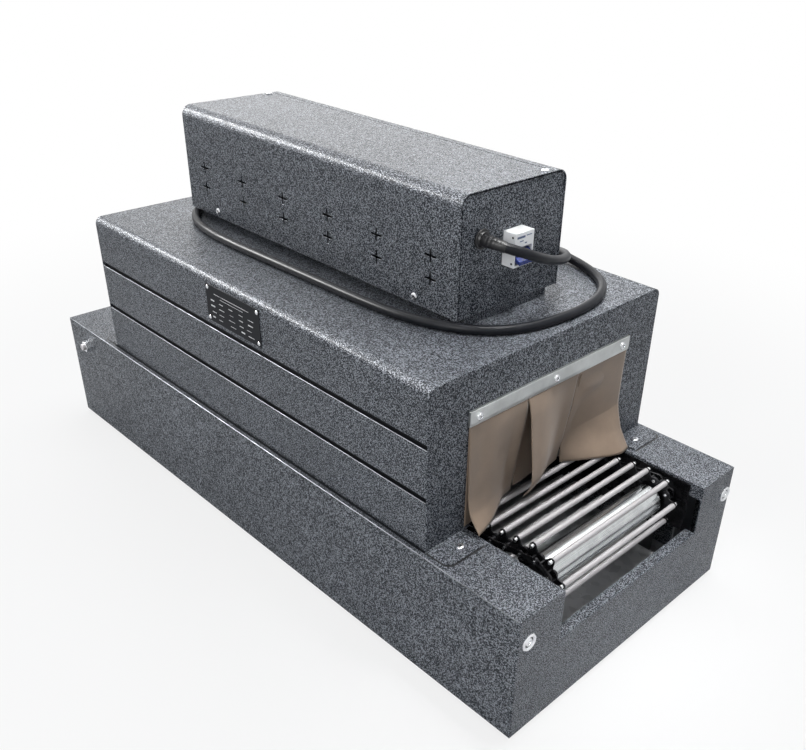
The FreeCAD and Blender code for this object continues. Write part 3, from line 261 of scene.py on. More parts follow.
def moulded_grain():
    """The faint texture of moulded plastic, rubber and castings."""
    tree, given, out = group_tree(
        "ShaderNodeTree", "Moulded grain",
        {"Color": "color", "Worn": "color", "Grain": ("value", 0.0006), "Depth": ("value", 0.00003),
         "Smooth": ("value", 0.35), "Rough": ("value", 0.55)},
        {"Color": "color", "Roughness": "value", "Normal": "vector"})
    place = tree.place()
    grain = tree.noise(place, tree.math("DIVIDE", 1.0, given["Grain"]), 3.0, 0.6).outputs["Fac"]
    wear = tree.noise(place, 35.0, 4.0, 0.65).outputs["Fac"]
    rubbed = tree.remap(wear, 0.45, 0.75)
    tree.feed(out.inputs["Color"], tree.mix(rubbed, given["Color"], given["Worn"]))
    mixed = tree.math("MULTIPLY", tree.math("ADD", grain, rubbed), 0.5)
    tree.feed(out.inputs["Roughness"], tree.remap(mixed, 0.2, 0.8, given["Smooth"], given["Rough"]))
    tree.feed(out.inputs["Normal"], tree.bump(grain, given["Depth"]))
    return tree.tree


def plain_weave():
    """Coated glass cloth: two sets of threads in the piece's own UV map, counted in metres."""
    tree, given, out = group_tree(
        "ShaderNodeTree", "Plain weave",
        {"Color": "color", "Gap": "color", "Thread": ("value", 0.0009), "Depth": ("value", 0.00006)},
        {"Color": "color", "Roughness": "value", "Normal": "vector"})
    flat = tree.add("ShaderNodeUVMap", uv_map="Cloth").outputs["UV"]
    split = tree.add("ShaderNodeSeparateXYZ", {"Vector": flat})
    turns = tree.math("DIVIDE", math.pi, given["Thread"])
    waves = [tree.math("SINE", tree.math("MULTIPLY", split.outputs[axis], turns)) for axis in "XY"]
    over = tree.math("MULTIPLY", waves[0], waves[1])
    threads = tree.remap(over, -1.0, 1.0, 0.0, 1.0, False)
    haze = tree.noise(tree.place(), 26.0, 5.0, 0.6).outputs["Fac"]
    tint = tree.math("MULTIPLY", tree.remap(haze, 0.3, 0.7), 0.6)
    tint = tree.math("ADD", tint, tree.math("MULTIPLY", threads, 0.35))
    tree.feed(out.inputs["Color"], tree.mix(tint, given["Gap"], given["Color"]))
    tree.feed(out.inputs["Roughness"], tree.remap(haze, 0.3, 0.7, 0.42, 0.6))
    tree.feed(out.inputs["Normal"], tree.bump(threads, given["Depth"]))
    return tree.tree


GROUPS = {make.__name__: make() for make in
          (hammered_enamel, soft_variation, brushed_grain, spangle, moulded_grain, plain_weave)}


class Finish:
    """A material: one Principled BSDF fed by the shared groups."""

    def __init__(self, name, **sockets):
        self.material = bpy.data.materials.new(name)
        self.material.use_nodes = True
        self.tree = Tree(self.material.node_tree)
        self.shader = self.material.node_tree.nodes["Principled BSDF"]
        for label, value in sockets.items():
            self.shader.inputs[label.replace("_", " ").title()
                               .replace("Ior", "IOR")].default_value = value

    def use(self, group, feeds, **values):
        """Places a group, sets its inputs, and feeds its outputs to the shader's sockets."""
        made = self.tree.add("ShaderNodeGroup")
        made.node_tree = GROUPS[group]
        for label, value in values.items():
            self.tree.feed(made.inputs[label.replace("_", " ")], value)
        for output, socket in feeds.items():
            self.tree.feed(self.shader.inputs[socket], made.outputs[output])
        return made.outputs


ALL_THREE = {"Color": "Base Color", "Roughness": "Roughness", "Normal": "Normal"}


def enamel(name, hollow, ridge, relief=0.0007):
    made = Finish(name, metallic=0.15, specular_ior_level=0.25, coat_weight=0.1, coat_roughness=0.16)
    base = made.use("hammered_enamel", {"Roughness": "Roughness", "Normal": "Normal"},
                    Hollow=hollow, Ridge=ridge, Relief=relief)
    made.use("soft_variation", {"Color": "Base Color"}, Color=base["Color"], Amount=0.1,
             Dust=(0.5, 0.52, 0.55, 1), Dust_Amount=0.03, Size=0.15)
    return made.material


def metal(name, color, stretch, smooth, rough, depth=0.000004, tint=0.1):
    made = Finish(name, metallic=1.0)
    made.use("brushed_grain", {"Roughness": "Roughness", "Normal": "Normal"}, Stretch=stretch,
             Smooth=smooth, Rough=rough, Depth=depth)
    made.use("soft_variation", {"Color": "Base Color"}, Color=color, Amount=tint, Size=0.05)
    return made.material


def moulded(name, color, worn, smooth, rough, grain=0.0006, depth=0.00002, **sockets):
    made = Finish(name, **sockets)
    made.use("moulded_grain", ALL_THREE, Color=color, Worn=worn, Grain=grain, Depth=depth,
             Smooth=smooth, Rough=rough)
    return made.material


def galvanised(name):
    made = Finish(name, metallic=0.55)
    made.use("spangle", {"Color": "Base Color", "Roughness": "Roughness"},
             Color=(0.5, 0.52, 0.54, 1), Light=(0.68, 0.7, 0.72, 1), Crystal=0.011)
    return made.material


def cloth(name, color, gap):
    made = Finish(name, sheen_weight=0.15, sheen_roughness=0.5)
    made.use("plain_weave", ALL_THREE, Color=color, Gap=gap, Thread=0.0009, Depth=0.00004)
    return made.material


MATERIALS = {
    "casing_paint": enamel("Charcoal hammertone", (0.004, 0.007, 0.013, 1), (0.36, 0.385, 0.425, 1)),
    "black_steel": moulded("Oiled black steel", (0.012, 0.012, 0.014, 1), (0.03, 0.03, 0.033, 1),
                           0.25, 0.45, 0.0008, 0.00002, metallic=0.6),
    "bright_steel": metal("Satin ground steel", (0.44, 0.43, 0.44, 1), (2500.0, 30.0, 2500.0),
                          0.62, 0.78),
    "zinc_plate": metal("Bright zinc plate", (0.78, 0.79, 0.81, 1), (900.0, 900.0, 900.0), 0.14, 0.3),
    "galvanised_sheet": galvanised("Galvanised sheet"),
    "clamp_steel": metal("Brushed stainless strip", (0.58, 0.595, 0.59, 1), (2000.0, 25.0, 2500.0),
                         0.3, 0.45, 0.000008, 0.2),
    "curtain_cloth": cloth("Coated glass cloth", (0.28, 0.208, 0.152, 1), (0.2, 0.145, 0.105, 1)),
    "mineral_wool": moulded("Mineral wool", (0.62, 0.55, 0.4, 1), (0.75, 0.7, 0.55, 1), 0.85, 0.98,
                            0.0025, 0.0008),
    "heater_tube": metal("Oxidised heater tube", (0.24, 0.21, 0.2, 1), (400.0, 60.0, 400.0), 0.4, 0.6),
    "cast_housing": moulded("Painted casting", (0.16, 0.17, 0.18, 1), (0.24, 0.25, 0.26, 1), 0.4, 0.6,
                            0.0012, 0.00008),
    "fan_metal": metal("Plain aluminium", (0.6, 0.61, 0.63, 1), (300.0, 300.0, 900.0), 0.3, 0.45),
    "plate_black": moulded("Black anodised plate", (0.008, 0.009, 0.012, 1), (0.016, 0.017, 0.021, 1),
                           0.4, 0.55, 0.0004, 0.000006, specular_ior_level=0.12),
    "foot_rubber": moulded("Foot rubber", (0.02, 0.02, 0.02, 1), (0.04, 0.04, 0.04, 1), 0.6, 0.85,
                           0.001, 0.00005),
    "black_plastic": moulded("Black plastic", (0.013, 0.013, 0.014, 1), (0.026, 0.026, 0.028, 1),
                             0.32, 0.5),
    "white_plastic": moulded("White plastic", (0.9, 0.91, 0.92, 1), (0.84, 0.85, 0.86, 1), 0.28, 0.4,
                             0.0008, 0.000008),
    "blue_plastic": moulded("Blue plastic", (0.006, 0.02, 0.16, 1), (0.012, 0.035, 0.22, 1), 0.25, 0.38,
                            0.0008, 0.000008),
    "rocker_plastic": moulded("Gloss black plastic", (0.012, 0.012, 0.013, 1), (0.02, 0.02, 0.022, 1),
                              0.16, 0.28, 0.0008, 0.000006),
    "lamp_lens": moulded("Red lens", (0.6, 0.02, 0.012, 1), (0.45, 0.012, 0.01, 1), 0.08, 0.18,
                         0.001, 0.00001, coat_weight=0.6, transmission_weight=0.35),
    "cord_rubber": moulded("Cord rubber", (0.006, 0.007, 0.01, 1), (0.011, 0.012, 0.016, 1), 0.34, 0.46,
                           0.0007, 0.00001, specular_ior_level=0.22),
    "pin_brass": metal("Brass pins", (0.8, 0.6, 0.28, 1), (60.0, 1500.0, 1500.0), 0.2, 0.35),
}
POLISHED = metal("Polished drum tube", (0.58, 0.6, 0.61, 1), (700.0, 6.0, 700.0), 0.14, 0.34,
                 0.00003, 0.25)
# Stands for the fine highlight that daylight draws along a sharp fold of enamelled sheet.
PAINTED_FOLD_HIGHLIGHT = metal("Bright line along a fold", (0.13, 0.137, 0.145, 1), (60.0, 900.0, 900.0), 0.3, 0.5,
                  0.00002, 0.5)
PLATE_MARK = moulded("Bare metal marks", (0.7, 0.71, 0.73, 1), (0.08, 0.08, 0.09, 1), 0.3, 0.45,
                     0.004)
BREAKER_MARK = moulded("Printed grey-blue marks", (0.1, 0.14, 0.25, 1), (0.14, 0.18, 0.28, 1), 0.3, 0.4)
SWITCH_MARK = moulded("White marks", (0.75, 0.75, 0.75, 1), (0.6, 0.6, 0.6, 1), 0.35, 0.5)


# piece makers

def link(mesh, name):
    obj = bpy.data.objects.new(name, mesh)
    bpy.context.scene.collection.objects.link(obj)
    return obj


def settle(obj, slot, body, replaced=(), material=None):
    """Gives a finished piece its material, taken from its slot unless one is given, its body, and hides the
    nodes it stands for.
    """
    obj.data.materials.clear()
    obj.data.materials.append(material or MATERIALS[slot])
    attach(obj, body)
    if replaced:
        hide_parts(*replaced)
    return obj


def merged_copy(node):
    """A node's own triangles joined into faces."""
    shape = bmesh.new()
    shape.from_mesh(NODES[node].data)
    bmesh.ops.remove_doubles(shape, verts=shape.verts, dist=0.000002)
    bmesh.ops.dissolve_limit(shape, angle_limit=math.radians(0.5), verts=shape.verts,
                             edges=shape.edges)
    return shape


def from_bmesh(shape, name, smooth=30.0):
    mesh = bpy.data.meshes.new(name)
    shape.to_mesh(mesh)
    shape.free()
    mesh.shade_smooth()
    mesh.set_sharp_from_angle(angle=math.radians(smooth))
    return link(mesh, name)


def soften(obj, width, segments=2, angle=28.0):
    """Breaks the sharp edges, as bent and cut sheet has them."""
    bevel = obj.modifiers.new("Broken edges", "BEVEL")
    bevel.width = width
    bevel.segments = segments
    bevel.limit_method = "ANGLE"
    bevel.angle_limit = math.radians(angle)
    bevel.use_clamp_overlap = True
    even = obj.modifiers.new("Flat faces stay flat", "WEIGHTED_NORMAL")
    even.keep_sharp = True
    return obj


def baked(obj):
    """The object's evaluated shape as a plain mesh, with its modifiers gone."""
    view = bpy.context.evaluated_depsgraph_get()
    view.update()
    mesh = bpy.data.meshes.new_from_object(obj.evaluated_get(view))
    mesh.name = obj.name
    old = obj.data
    obj.modifiers.clear()
    if obj.type == "CURVE":
        name = obj.name
        bpy.data.objects.remove(obj)
        return link(mesh, name)
    obj.data = mesh
    if not old.users:
        bpy.data.meshes.remove(old)
    return obj


def round_folds(shape, radius):
    """Rounds the long bends of a sheet, which lie between two wide faces."""
    folds = [edge for edge in shape.edges
             if edge.calc_length() > 0.12 and len(edge.link_faces) == 2
             and edge.calc_face_angle() > math.radians(60)
             and min(face.calc_area() for face in edge.link_faces) > 0.0035 * edge.calc_length()]
    bmesh.ops.bevel(shape, geom=folds, offset=radius, segments=4, profile=0.5, affect="EDGES")


def groove_lips(shape):
    """Rounds the lower lip of each long groove, where the sheet turns back out of it."""
    lips = []
    for edge in shape.edges:
        a, b = (vert.co for vert in edge.verts)
        if abs(a.z - b.z) < 0.0001 and (a - b).length > 0.3 and len(edge.link_faces) == 2:
            up = [face for face in edge.link_faces if face.normal.z > 0.9]
            side = [face for face in edge.link_faces if abs(face.normal.y) > 0.9]
            if up and side and up[0].calc_area() < 0.012 * (a - b).length and side[0].calc_area() > 0.02:
                lips.append(edge)
    bmesh.ops.bevel(shape, geom=lips, offset=LIP_ROUND, segments=3, profile=0.5, affect="EDGES")


def widen_vents(spot):
    """Draws out the corners of a cross-shaped vent in the cover to the width they have in daylight."""
    for column in range(6):
        for level in (0.484, 0.5145):
            x, z = spot.x - (column - 2.5) * 0.102, spot.z - level
            if max(abs(x), abs(z)) < 0.0085:
                spot.x += x * (0.3 if abs(x) > 0.004 else 0.35)
                spot.z += z * (0.12 if abs(z) > 0.004 else 0.35)
                return


def seam_shifts(shape, node):
    """Opens the seams that show as dark lines, and closes the one that does not."""
    for vert in shape.verts:
        spot = vert.co
        if node == "box_end_plates":
            if spot.y < -0.08:
                spot.y += 0.0014
            if spot.y > 0.08:
                spot.y += 0.001
            if spot.z > 0.59:
                spot.z -= 0.0006
        if node == "box_cover" and spot.z > 0.595 and abs(spot.y - 0.073) < 0.0015:
            spot.y -= 0.0012
        if node == "box_cover" and spot.y < -0.09:
            widen_vents(spot)
    if node == "clamp_strips":
        bmesh.ops.bisect_plane(shape, geom=shape.verts[:] + shape.edges[:] + shape.faces[:],
                               plane_co=(0, 0, 0.3585), plane_no=(0, 0, 1))
        low = min(vert.co.z for vert in shape.verts)
        out = max(vert.co.x for vert in shape.verts)
        for vert in shape.verts:
            if vert.co.z < low + 0.0003 and abs(vert.co.x) > out - 0.0003:
                vert.co.x -= math.copysign(0.0011, vert.co.x)


def dress(node, width=0.0006, segments=2, fold=0.0):
    """Stands for a sheet-metal or moulded node with the same shape and broken edges."""
    shape = merged_copy(node)
    seam_shifts(shape, node)
    if node == "tunnel_cover":
        groove_lips(shape)
    if fold:
        round_folds(shape, fold)
    obj = from_bmesh(shape, node + "_finish")
    soften(obj, width, segments)
    return settle(obj, SLOT_OF[node], BODY_OF[node], [node])


def basis(axis):
    """Two directions square to an axis, so that side x up = axis."""
    axis = axis.normalized()
    side = (Z if abs(axis.z) < 0.9 else X).cross(axis).normalized()
    return side, axis.cross(side)


def lathe(shape, start, axis, profile, sides=48):
    """Adds a closed turned solid. The profile is (distance along the axis, radius) pairs."""
    side, up = basis(axis)
    axis = axis.normalized()
    rings = []
    for along, radius in profile:
        centre = start + axis * along
        if radius <= 0:
            rings.append([shape.verts.new(centre)] * sides)
            continue
        rings.append([shape.verts.new(centre + (side * math.cos(turn) + up * math.sin(turn)) * radius)
                      for turn in (2 * math.pi * k / sides for k in range(sides))])
    for near, far in zip(rings, rings[1:]):
        for k in range(sides):
            n = (k + 1) % sides
            loop = []
            for corner in (near[k], near[n], far[n], far[k]):
                if corner not in loop:
                    loop.append(corner)
            if len(loop) > 2:
                shape.faces.new(loop)
    for ring, flip in ((rings[0], True), (rings[-1], False)):
        if ring[0] is not ring[1]:
            shape.faces.new(ring[::-1] if flip else ring)
    return shape


def turned(name, start, axis, profile, sides=48, smooth=30.0):
    shape = lathe(bmesh.new(), Vector(start), axis, profile, sides)
    return from_bmesh(shape, name, smooth)


def closed(shape, first, second):
    """Closes two matching rims of corners into a solid."""
    shape.faces.new(first)
    shape.faces.new(second[::-1])
    for k in range(len(first)):
        n = (k + 1) % len(first)
        shape.faces.new((first[n], first[k], second[k], second[n]))
    return shape


def plate(shape, outline, thick):
    """Adds a flat plate: an outline in the local XZ plane, its thickness centred on local Y."""
    return closed(shape, *([shape.verts.new((x, y, z)) for x, z in outline]
                           for y in (-thick / 2, thick / 2)))


def arc(centre, radius, first, last, steps):
    """Points round a centre from one angle to another, in degrees."""
    turns = [math.radians(first + (last - first) * k / steps) for k in range(steps + 1)]
    return [(centre[0] + radius * math.cos(t), centre[1] + radius * math.sin(t)) for t in turns]


# geometry node trees

def copies_on_frames():
    """Puts a copy of Piece on every point, turned by the point's own turn."""
    tree, given, out = group_tree(
        "GeometryNodeTree", "Copies on frames",
        {"Geometry": "geometry", "Piece": "object", "Finish": "material"}, {"Geometry": "geometry"})
    piece = tree.add("GeometryNodeObjectInfo", {"Object": given["Piece"]})
    turn = tree.add("GeometryNodeInputNamedAttribute", {"Name": "turn"}, data_type="FLOAT_VECTOR")
    turned_by = tree.add("FunctionNodeEulerToRotation", {0: turn.outputs["Attribute"]})
    copies = tree.add("GeometryNodeInstanceOnPoints", {
        "Points": given["Geometry"], "Instance": piece.outputs["Geometry"],
        "Rotation": turned_by.outputs[0]})
    solid = tree.add("GeometryNodeRealizeInstances", {"Geometry": copies.outputs["Instances"]})
    done = tree.add("GeometryNodeSetMaterial",
                    {"Geometry": solid.outputs["Geometry"], "Material": given["Finish"]})
    tree.feed(out.inputs["Geometry"], done.outputs["Geometry"])
    return tree.tree


def bars_on_frames():
    """Puts a round bar with chamfered ends across every point, along the point's local Y."""
    tree, given, out = group_tree(
        "GeometryNodeTree", "Bars on frames",
        {"Geometry": "geometry", "Radius": ("value", 0.004), "Chamfer": ("value", 0.0005),
         "Sides": ("count", 24), "Finish": "material"}, {"Geometry": "geometry"})
    turn = tree.add("GeometryNodeInputNamedAttribute", {"Name": "turn"}, data_type="FLOAT_VECTOR")
    reach = tree.add("GeometryNodeInputNamedAttribute", {"Name": "reach"}, data_type="FLOAT")
    reach = reach.outputs["Attribute"]
    upright = tree.add("FunctionNodeEulerToRotation", {0: turn.outputs["Attribute"]})
    flat = tree.add("FunctionNodeRotateRotation",
                    {"Rotation": upright.outputs[0], "Rotate By": (math.pi / 2, 0, 0)},
                    rotation_space="LOCAL")
    parts = []
    for name, cut in (("body", 0.0), ("core", 1.0)):
        radius = tree.math("SUBTRACT", given["Radius"], tree.math("MULTIPLY", given["Chamfer"], cut))
        trim = tree.math("MULTIPLY", given["Chamfer"], 1.0 - cut)
        bar = tree.add("GeometryNodeMeshCylinder", {"Vertices": given["Sides"], "Radius": radius,
                                                    "Depth": 2.0})
        length = tree.math("SUBTRACT", reach, trim)
        scale = tree.add("ShaderNodeCombineXYZ", {"X": 1.0, "Y": 1.0, "Z": length})
        made = tree.add("GeometryNodeInstanceOnPoints", {
            "Points": given["Geometry"], "Instance": bar.outputs["Mesh"],
            "Rotation": flat.outputs[0], "Scale": scale.outputs[0]})
        parts.append(made.outputs["Instances"])
    both = tree.add("GeometryNodeJoinGeometry")
    for part in parts:
        tree.tree.links.new(part, both.inputs[0])
    solid = tree.add("GeometryNodeRealizeInstances", {"Geometry": both.outputs[0]})
    done = tree.add("GeometryNodeSetMaterial",
                    {"Geometry": solid.outputs["Geometry"], "Material": given["Finish"]})
    tree.feed(out.inputs["Geometry"], done.outputs["Geometry"])
    return tree.tree


COPIES = copies_on_frames()
BARS = bars_on_frames()


def frame_points(name, places, reaches=None):
    """A mesh of bare points at (place, turn) pairs, for a Geometry Nodes tree to fill."""
    mesh = bpy.data.meshes.new(name)
    mesh.from_pydata([place for place, _ in places], [], [])
    turns = mesh.attributes.new("turn", "FLOAT_VECTOR", "POINT")
    for entry, (_, turn) in zip(turns.data, places):
        entry.vector = turn.to_euler()[:]
    if reaches:
        lengths = mesh.attributes.new("reach", "FLOAT", "POINT")
        for entry, reach in zip(lengths.data, reaches):
            entry.value = reach
    return link(mesh, name)


def filled(obj, tree, smooth=30.0, **values):
    """Runs a Geometry Nodes tree on an object and keeps the result as a plain mesh."""
    modifier = obj.modifiers.new("Copies", "NODES")
    modifier.node_group = tree
    for socket in tree.interface.items_tree:
        if socket.in_out == "INPUT" and socket.name in values:
            modifier[socket.identifier] = values[socket.name]
    obj = baked(obj)
    obj.data.shade_smooth()
    obj.data.set_sharp_from_angle(angle=math.radians(smooth))
    return obj


def copies(name, piece_shape, places, slot, body, replaced=(), material=None, smooth=30.0):
    """One piece with a copy of a small shape at each (place, turn)."""
    small = from_bmesh(piece_shape, name + "_one", smooth)
    finish = material or MATERIALS[slot]
    obj = filled(frame_points(name, places), COPIES, smooth, Piece=small, Finish=finish)
    mesh = small.data
    bpy.data.objects.remove(small)
    bpy.data.meshes.remove(mesh)
    return settle(obj, slot, body, replaced, finish)


# mains cord

CORD_RADIUS = 0.0065
GLAND = Vector((309.5, -59, 540.5)) * MM
CORD_POINTS_MM = [
    (309.5, -59, 540.5), (322, -59, 540.5), (334.5, -55, 538.5), (345, -47, 535),
    (352.5, -36, 531), (356.5, -22, 525), (356, -2, 516.5), (351.5, 23, 507), (344, 49, 498.5),
    (333, 74, 491.5), (318, 98, 485.5), (295, 118, 479.5), (264, 130, 471.5),
    (215, 149, 475.5), (160, 159, 446.5), (96, 166, 434.5), (20, 164, 434.5), (-62, 167, 434.5),
    (-140, 164, 434.5), (-212, 154, 434.5), (-272, 130, 434.5), (-316, 87, 434.5),
    (-334, 30, 434.5), (-333, -32, 434.5), (-312, -84, 434.5), (-268, -119, 434.5),
    (-204, -136, 434.5), (-122, -139, 434.5), (-30, -136, 434.5), (66, -134, 434.5),
    (154, -132, 434.5), (226, -127, 434.5), (284, -111, 434.5), (331, -83, 434.5),
    (361, -40, 434.5), (372, 14, 434.5), (374, 70, 434.5), (363, 124, 434.5), (334, 168, 434.5),
    (286, 196, 434.5), (230, 207, 436.5), (178, 201, 446), (130, 201, 446),
]


def route_curve(name, bevel):
    data = bpy.data.curves.new(name, "CURVE")
    data.dimensions = "3D"
    spline = data.splines.new("NURBS")
    spline.points.add(len(CORD_POINTS_MM) - 1)
    for point, place in zip(spline.points, CORD_POINTS_MM):
        point.co = (*(Vector(place) * MM), 1.0)
    spline.order_u = 3
    spline.use_endpoint_u = True
    spline.resolution_u = 12
    data.bevel_depth = bevel
    data.bevel_resolution = 6
    data.use_fill_caps = True
    return link(data, name)


def swept(name, line, radii, sides=32):
    """A closed sleeve along a line of points, with its own radius at each."""
    shape = bmesh.new()
    rings = []
    for k, (point, radius) in enumerate(zip(line, radii)):
        heading = (line[min(k + 1, len(line) - 1)] - line[max(k - 1, 0)]).normalized()
        side = Z.cross(heading).normalized()
        up = heading.cross(side)
        rings.append([shape.verts.new(point + (side * math.cos(t) + up * math.sin(t)) * radius)
                      for t in (2 * math.pi * n / sides for n in range(sides))])
    for near, far in zip(rings, rings[1:]):
        for k in range(sides):
            n = (k + 1) % sides
            shape.faces.new((near[k], near[n], far[n], far[k]))
    shape.faces.new(rings[0][::-1])
    shape.faces.new(rings[-1])
    bmesh.ops.recalc_face_normals(shape, faces=shape.faces)
    return from_bmesh(shape, name, 35.0)


def resampled(line, step, reach):
    """Points every step along a line, up to a reach."""
    spots, left, done = [line[0].copy()], step, 0.0
    for a, b in zip(line, line[1:]):
        length = (b - a).length
        while left <= length and done + left <= reach:
            spots.append(a.lerp(b, left / length))
            left += step
        done += length
        left -= length
        if done > reach:
            break
    return spots


def mains_cord():
    guide = route_curve("cord_route", 0.0)
    view = bpy.context.evaluated_depsgraph_get()
    view.update()
    traced = bpy.data.meshes.new_from_object(guide.evaluated_get(view))
    line = [v.co.copy() for v in traced.vertices]
    bpy.data.meshes.remove(traced)
    bpy.data.objects.remove(guide)

    relief_line = resampled(line, 0.001, 0.03)
    radii = []
    for k in range(len(relief_line)):
        taper = 0.0088 - 0.0019 * k / (len(relief_line) - 1)
        radii.append(taper - (0.0003 if k % 5 in (2, 3) and 3 < k < 27 else 0.0))
    relief = swept("cord_relief", relief_line, radii)
    settle(relief, "black_plastic", "housing")
    flange = turned("cord_gland", GLAND - X * 0.0075, X,
                    [(0, 0.009), (0.0015, 0.009), (0.0015, 0.0127), (0.0018, 0.013), (0.0037, 0.013),
                     (0.0045, 0.0124), (0.0048, 0.0108), (0.0062, 0.0103), (0.0075, 0.0096)])
    settle(flange, "black_plastic", "housing", ["cord_grommet"])

    tail = Vector(CORD_POINTS_MM[-1]) * MM
    head = turned("cord_plug", Vector((tail.x + 0.012, tail.y, tail.z)), -X,
                  [(0, 0.0074), (0.004, 0.0086), (0.0045, 0.0078), (0.008, 0.0086), (0.0085, 0.0078),
                   (0.012, 0.0092), (0.018, 0.0125), (0.0264, 0.0172), (0.03, 0.0179), (0.0545, 0.018),
                   (0.0575, 0.0175), (0.0595, 0.0163), (0.06, 0.0145), (0.06, 0)])
    settle(head, "cord_rubber", "housing", ["plug_body"])
    shape = bmesh.new()
    for way in (-1, 1):
        lathe(shape, Vector((tail.x - 0.048, tail.y + way * 0.0095, tail.z)), -X,
              [(-0.004, 0.0024), (0.0172, 0.0024), (0.0186, 0.0019), (0.019, 0.0012), (0.019, 0)], 20)
    pins = from_bmesh(shape, "cord_plug_pins")
    settle(pins, "pin_brass", "housing", ["plug_pins"])

    cord = route_curve("mains_cord", CORD_RADIUS)
    settle(cord, "cord_rubber", "housing", ["power_cord"])


# conveyor

SHAFT_Z = 0.1645
SHAFT_X = 0.49
# The chain does not travel with its wheels, so nothing crosses the teeth's path this near a shaft.
WHEEL_REACH = 0.045
ROD_RISE = 0.0128
PITCH_HALF = 0.0127
LINK_THICK = 0.0016


def link_frames():
    """Middle, heading and outward direction of every link, from its plain plate."""
    shape = merged_copy("conveyor_chains")
    shape.verts.ensure_lookup_table()
    seen, frames = set(), []
    for first in shape.verts:
        if first.index in seen:
            continue
        island, front = [first], [first]
        seen.add(first.index)
        while front:
            for edge in front.pop().link_edges:
                for vert in edge.verts:
                    if vert.index not in seen:
                        seen.add(vert.index)
                        island.append(vert)
                        front.append(vert)
        spots = [v.co for v in island]
        near = min(spots, key=lambda p: p.y).y
        flat = [p for p in spots if p.y < near + 0.0003]
        pairs = sorted(((a - b).length, (a - b).normalized()) for i, a in enumerate(flat)
                       for b in flat[:i]) if len(flat) == 4 else []
        if not pairs or abs(pairs[0][0] - pairs[1][0]) > 0.0002:
            continue
        middle = sum(spots, Vector()) / len(spots)
        core = Vector((max(-SHAFT_X, min(SHAFT_X, middle.x)), middle.y, SHAFT_Z))
        out = pairs[0][1]
        out = out if out.dot(middle - core) > 0 else -out
        out.y = 0
        out.normalize()
        heading = Y.cross(out)
        frames.append((middle, heading, out))
    shape.free()
    return frames


def turn_of(heading, out):
    """The rotation that takes local X to the heading and local Z outwards."""
    return Matrix((heading, out.cross(heading), out)).transposed()


LUG_CROWN = ([(-0.0078, 0.0049), (-0.006, 0.0085)] + arc((0, 0.0118), 0.005, 170, 10, 8)
             + [(0.006, 0.0085), (0.0078, 0.0049)])
PLAIN_CROWN = [(-0.006, 0.0046), (0.006, 0.0046)]


def link_plate(crown):
    """A link's plate, rounded about its two pins, with the upper edge given."""
    half = 0.0055
    outline = (arc((-PITCH_HALF, 0), half, 270, 90, 8) + crown
               + arc((PITCH_HALF, 0), half, 90, -90, 8) + [(0.006, -0.0046), (-0.006, -0.0046)])
    shape = plate(bmesh.new(), outline, LINK_THICK)
    bmesh.ops.recalc_face_normals(shape, faces=shape.faces)
    return shape


def conveyor():
    """Chains with lugs, rollers and riveted pins, and the rods between them."""
    chain_y = 0.131
    gap = 0.0039
    frames = link_frames()
    lugs, plains, rollers, pins, pin_ends, rivets = [], [], [], [], [], []
    rods, reaches = [], []
    for middle, heading, out in frames:
        side = 1 if middle.y > 0 else -1
        turn = turn_of(heading, out)
        layer = abs(middle.y) - chain_y
        centre = Vector((middle.x, 0, middle.z))
        plains.append((middle, turn))
        lugs.append((centre + Y * side * (chain_y - layer), turn))
        rivets.append((centre + out * ROD_RISE + Y * side * (chain_y - layer + 0.0028), turn))
        if layer > gap + LINK_THICK:
            for way in (-1, 1):
                place = centre + heading * way * PITCH_HALF + Y * side * chain_y
                if abs(place.x) > SHAFT_X - WHEEL_REACH:
                    pin_ends.append((place, turn))
                else:
                    pins.append((place, turn))
                    rollers.append((place, turn))
        if side > 0:
            rods.append((centre + out * ROD_RISE, turn))
            reaches.append(chain_y - layer - LINK_THICK / 2)
    copies("chain_lug_plates", link_plate(LUG_CROWN), lugs, "black_steel", "housing",
           ["conveyor_chains"])
    copies("chain_plain_plates", link_plate(PLAIN_CROWN), plains, "black_steel", "housing")
    copies("chain_rollers", lathe(bmesh.new(), -Y * 0.0037, Y,
                                  [(0, 0.0034), (0.0004, 0.0039), (0.007, 0.0039), (0.0074, 0.0034)], 20),
           rollers, "black_steel", "housing")
    reach = gap + 2 * LINK_THICK + 0.0018
    copies("chain_pins", lathe(bmesh.new(), -Y * reach, Y,
                               [(0, 0.0017), (0.0004, 0.0024), (2 * reach - 0.0004, 0.0024),
                                (2 * reach, 0.0017)], 14), pins, "zinc_plate", "housing")
    end = [(0, 0.0024), (reach - gap - 0.0004, 0.0024), (reach - gap, 0.0017)]
    stubs = lathe(lathe(bmesh.new(), Y * gap, Y, end, 14), -Y * gap, -Y, end, 14)
    bmesh.ops.recalc_face_normals(stubs, faces=stubs.faces)
    copies("chain_pin_ends", stubs, pin_ends, "zinc_plate", "housing")
    copies("rod_rivets", lathe(bmesh.new(), -Y * 0.0025, Y,
                               [(0, 0.0022), (0.0005, 0.003), (0.0045, 0.003), (0.005, 0.0022)], 16),
           rivets, "zinc_plate", "housing")
    bars = filled(frame_points("conveyor_rods_finish", rods, reaches), BARS, Radius=0.004,
                  Chamfer=0.0005, Sides=24, Finish=MATERIALS["bright_steel"])
    settle(bars, "bright_steel", "housing", ["conveyor_rods"])


